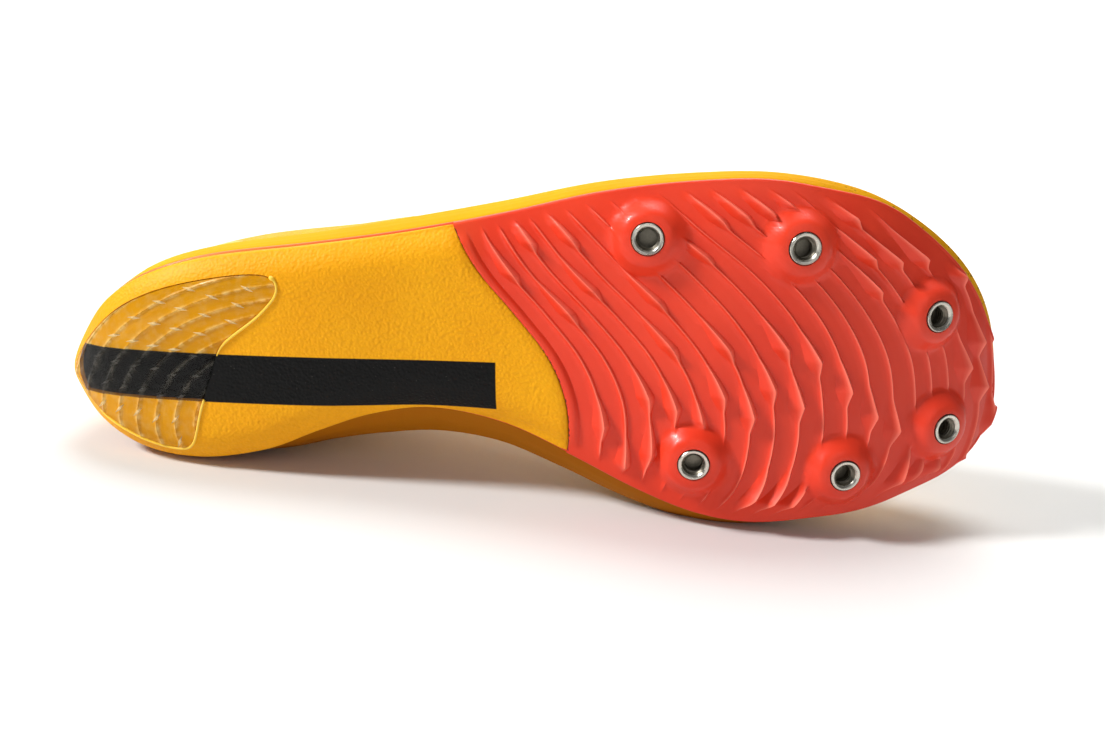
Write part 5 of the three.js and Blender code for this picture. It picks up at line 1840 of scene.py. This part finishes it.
# Whether a closed outline holds a point: to one side of it, the outline is crossed an odd number
# of times.
def holds(outline, x, y):
    (x0, y0), (x1, y1) = outline.T, np.roll(outline, -1, axis=0).T
    crosses = (y0 > y) != (y1 > y)
    at = x0 + (y - y0) * (x1 - x0) / np.where(y1 == y0, 1, y1 - y0)
    return bool((crosses & (x < at)).sum() % 2)


# The milky tones along the ridges' crest lines are part haze, part painted highlight.
treadLook = {
    "gold": "#f3ab08", "shade": "#e39c0a", "hazeAndHighlight": "#ffe596", "ink": "#0b0a09", "inkHazeAndHighlight": "#6f6a5e",
}
# The tread's ridges are arcs round one centre, squashed across, between two reaches and two turns.
arcSizes = {
    "x": 78.0, "y": 22.0, "squash": 0.655, "pitch": 6.0, "first": 36.0, "rise": 0.6, "recess": 0.45,
    "reach": (85, 27), "turn": (104, -44), "rows": 146, "columns": 104, "rollShare": 0.6,
    "ridge": 0.55, "hazeAndHighlight": 0.7, "slope": 2.2, "ripple": 0.12, "fine": 0.1,
}
notchSizes = {"Length": 2.1, "Width": 0.5, "Height": 0.3}
notchLayout = {"pitch": 11.0, "reach": 84, "turn": (-40, 100), "stagger": 5, "margin": 2.0}


def arcPlace(reach, turn):
    x = arcSizes["x"] - reach * np.cos(turn)
    y = arcSizes["y"] - arcSizes["squash"] * reach * np.sin(turn)
    return x, y


def treadMaterial():
    # Clear TPU let into the pad: the pad and its band show through. The ridges' crest lines are
    # painted milky, part haze of the thick plastic and part painted highlight.
    made, tree, _, (streak, cloud) = newMaterial("clear moulded TPU", [(2.4, 3.0), (9.0, 2.0)])
    crest = addNode(tree, "ShaderNodeAttribute", output="Fac", attribute_name="crest")
    broken = addNode(tree, "ShaderNodeMapRange", {0: streak, 1: 0.4, 2: 0.65, 3: 0.08, 4: 0.7})
    hazeAndHighlight = addNode(tree, "ShaderNodeMath", {0: crest, 1: broken}, operation="MULTIPLY")
    clear = addNode(tree, "ShaderNodeMath", {0: hazeAndHighlight, 1: 0.25, 2: 0.6}, operation="MULTIPLY_ADD")
    gold = paintOver(tree, linear(treadLook["gold"]), [
        (cloud, 0.3, 0.7, 1.0, treadLook["shade"]),
        (streak, 0.45, 0.7, 0.16, treadLook["hazeAndHighlight"]),
        # painted highlight with haze: a milky tint along the ridges' crest lines
        (hazeAndHighlight, 0.0, 1.0, 1.0, treadLook["hazeAndHighlight"]),
    ])
    ink = paintOver(tree, linear(treadLook["ink"]), [(hazeAndHighlight, 0.0, 1.0, 1.0, treadLook["inkHazeAndHighlight"])])
    tint = paintOver(tree, gold, [(bandMask(tree), 0.0, 1.0, 1.0, ink)])
    return finishMaterial(made, tint, [(streak, 0.1)], {
        "Alpha": clear,
        "Roughness": 0.24,
        "IOR": 1.45,
        "Specular IOR Level": 0.2,
        "Coat Weight": 0.08,
        "Coat Roughness": 0.1,
    })


def notchShape(tree, sizes):
    size = scaledSizes(tree, sizes)
    sockets = {"Vertices": 4, "Radius Bottom": size["Width"], "Depth": size["Height"]}
    wedge = addNode(tree, "GeometryNodeMeshCone", sockets)
    sockets = {0: sizes["Length"], 1: sizes["Width"]}
    longer = addNode(tree, "ShaderNodeMath", sockets, operation="DIVIDE")
    drawn = addNode(tree, "ShaderNodeCombineXYZ", {0: longer, 1: 1.0, 2: 1.0})
    return addNode(tree, "GeometryNodeTransform", {"Geometry": wedge, "Scale": drawn})


def notchMaterial():
    # Scale-like steps cut across the tread's ridges: clear TPU, frosted where the tool was blasted.
    made, tree, _, (cloud,) = newMaterial("frosted moulded TPU", [(2.0, 2.0)])
    tint = paintOver(tree, linear("#ffe08c"), [
        (cloud, 0.0, 1.0, 1.0, "#fff2c8"), (bandMask(tree), 0.0, 1.0, 1.0, "#4f4c45"),
    ])
    return finishMaterial(made, tint, [], {"Roughness": 0.3, "Alpha": 0.4})


def treadGround(x, y):
    far, _, _ = toEdge(x, y)
    far = np.where(isInside(x, y), far, 0)
    ground = groundAt(x, far)
    return ground, ground + rollUp(far, sole["padRoll"] * arcSizes["rollShare"], sole["padRollWidth"])


# Small frosted steps along the tread's ridges, at even steps, every other row set off.
def makeNotches():
    places, along, up = [], [], []
    outline = treadOutline(-notchLayout["margin"])
    start, end = notchLayout["turn"]
    lift = arcSizes["recess"] - arcSizes["rise"] + 0.02
    reaches = np.arange(arcSizes["first"] - arcSizes["pitch"], notchLayout["reach"], arcSizes["pitch"])
    for row, reach in enumerate(reaches):
        turn = math.radians(start + notchLayout["stagger"] * (row % 2))
        while turn < math.radians(end):
            x, y = arcPlace(reach, turn)
            if holds(outline, x, y):
                ahead = np.subtract(arcPlace(reach, turn + 0.02), (x, y))
                places.append((x, y, treadGround(np.array([x]), np.array([y]))[1][0] + lift))
                skew = np.array([ahead[0] * 0.8 - ahead[1] * 0.6, ahead[1] * 0.8 + ahead[0] * 0.6])
                along.append((*skew / np.linalg.norm(skew), 0))
                up.append((0, 0, -1))
            turn += notchLayout["pitch"] / reach
    return setOnPlaces("tread_notches", places, along, up, notchSizes, notchShape, notchMaterial())


# How near places are to a ridge's crest, as 1 on it, and how far they are past it in mm.
def ridgeAt(reach, width):
    phase = np.mod((reach - arcSizes["first"]) / arcSizes["pitch"], 1)
    near = np.minimum(phase, 1 - phase) * arcSizes["pitch"]
    return np.exp(-((near / width) ** 2)), phase * arcSizes["pitch"]


def makeTread():
    reach = np.linspace(*arcSizes["reach"], arcSizes["rows"])[:, None]
    turn = np.radians(np.linspace(*arcSizes["turn"], arcSizes["columns"]))[None]
    x, y = arcPlace(reach + 0 * turn, turn + 0 * reach)
    crest, past = ridgeAt(reach, arcSizes["ridge"])
    slope = np.exp(-past / arcSizes["slope"])
    fine = arcSizes["fine"] * np.sin(reach * math.pi) ** 2
    ripple = arcSizes["ripple"] * np.sin(turn * 34 + reach * 0.7)
    rise = arcSizes["rise"] * (0.75 * slope + 0.25 * crest) * (1 + ripple) + fine
    ground, low = treadGround(x, y)
    face = np.stack([x, y, low + arcSizes["recess"] - rise], -1)
    outward = np.zeros((2 * (x.shape[0] + x.shape[1]) - 4, 2))
    points, faces = pillow(face, ground + treadSizes["depth"], outward, [(0, 0.5)], sparse=8)
    piece = makePiece("heel_tread_clear", points, faces, [treadMaterial()])
    points, faces = prism(treadOutline(-clearance), -30, 60)
    cutWith(piece, rawMesh("outline", points, faces), "INTERSECT", angle=50)
    where = shoePlaces(piece)
    aside = (arcSizes["y"] - where[:, 1]) / arcSizes["squash"]
    span = np.hypot(arcSizes["x"] - where[:, 0], aside)
    keepOnPoints(piece.data, "crest", ridgeAt(span, arcSizes["hazeAndHighlight"])[0])
    joinInto(piece, makeNotches())
    return piece


tread = makeTread()
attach(tread, "root")
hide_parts("heel_tread")
print("tread", len(tread.data.polygons))


def rowPoint(x, y, z):
    return Vector(layDown[:, :3] @ [x, y, z] + layDown[:, 3]) / 1000


# In the shoe's frame. The focal length is in pixels of the photo, which is imageWidth across.
cameraPlace = {"eye": (165.7, -72, -300), "aim": (147.7, 3, 0), "focal": 1086, "imageWidth": 1105}


def makeCamera():
    eye, aim = rowPoint(*cameraPlace["eye"]), rowPoint(*cameraPlace["aim"])
    data = bpy.data.cameras.new("camera")
    data.sensor_width = 36
    data.lens = data.sensor_width * cameraPlace["focal"] / cameraPlace["imageWidth"]
    data.clip_start = 0.01
    camera = addObject("camera", data)
    back = (eye - aim).normalized()
    upward = (rowPoint(0, -1, 0) - rowPoint(0, 0, 0)).normalized()
    right = upward.cross(back).normalized()
    up = back.cross(right)
    matrix = camera.matrix_world.copy()
    for i in range(3):
        matrix[i][0], matrix[i][1], matrix[i][2], matrix[i][3] = right[i], up[i], back[i], eye[i]
    camera.matrix_world = matrix
    bpy.context.scene.camera = camera


makeCamera()
bpy.context.scene.view_settings.view_transform = "Standard"


def floorMaterial():
    # Matt painted board: pale and even, with the faintest mottling.
    made, tree, _, (cloud,) = newMaterial("matt white board", [(120, 2.0)])
    tint = paintOver(tree, linear("#e2e2e0"), [(cloud, 0.0, 1.0, 1.0, "#e8e8e6")])
    return finishMaterial(made, tint, [], {"Roughness": 0.9, "Specular IOR Level": 0.1})


floorSizes = {"half": 1.9, "front": -1.7, "back": 1.0, "radius": 0.9, "height": 2.6}


# A sheet of board that runs flat under the shoe and sweeps up behind it.
def makeFloor():
    half, front, back, radius, height = floorSizes.values()
    line = [(front, 0.0), (back, 0.0)]
    for turn in np.linspace(0, math.pi / 2, 25)[1:]:
        line.append((back + radius * math.sin(turn), radius * (1 - math.cos(turn))))
    line.append((back + radius, height))
    points = [(x, y, z) for y, z in line for x in (-half, half)]
    faces = [[2 * i, 2 * i + 1, 2 * i + 3, 2 * i + 2] for i in range(len(line) - 1)]
    mesh = bpy.data.meshes.new("floor")
    mesh.from_pydata(points, [], faces)
    mesh.polygons.foreach_set("use_smooth", [True] * len(faces))
    mesh.materials.append(floorMaterial())
    floor = addObject("floor", mesh)


makeFloor()

lights = [
    {"name": "key", "place": (-1.92, -0.8, 1.65), "aim": (0, 0, 0.05), "size": 0.54, "power": 74},
    {"name": "fill", "place": (0.5, -1.7, 0.9), "aim": (0, 0, 0.05), "size": 1.6, "power": 4.2},
    {"name": "top", "place": (0.1, 0.25, 1.7), "aim": (0, 0.1, 0), "size": 0.7, "power": 1.2},
    {"name": "sweep", "place": (0, 0.8, 1.9), "aim": (0, 1.8, 0.4), "size": 1.6, "power": 44},
]
for row in lights:
    data = bpy.data.lights.new(row["name"], "AREA")
    data.shape = "DISK"
    data.size = row["size"]
    data.energy = row["power"]
    lamp = addObject(row["name"], data)
    lamp.location = row["place"]
    aim = Vector(row["aim"]) - Vector(row["place"])
    lamp.rotation_euler = aim.to_track_quat("-Z", "Y").to_euler()

world = bpy.data.worlds.new("studio")
bpy.context.scene.world = world
world.use_nodes = True
studio = world.node_tree
rays = addNode(studio, "ShaderNodeLightPath", output="Is Camera Ray")
glow = addNode(studio, "ShaderNodeMath", {0: rays, 1: 0.9, 2: 0.14}, operation="MULTIPLY_ADD")
studio.nodes["Background"].inputs[0].default_value = (1.0, 1.0, 1.0, 1.0)
studio.links.new(glow, studio.nodes["Background"].inputs[1])
print("camera, floor and light")
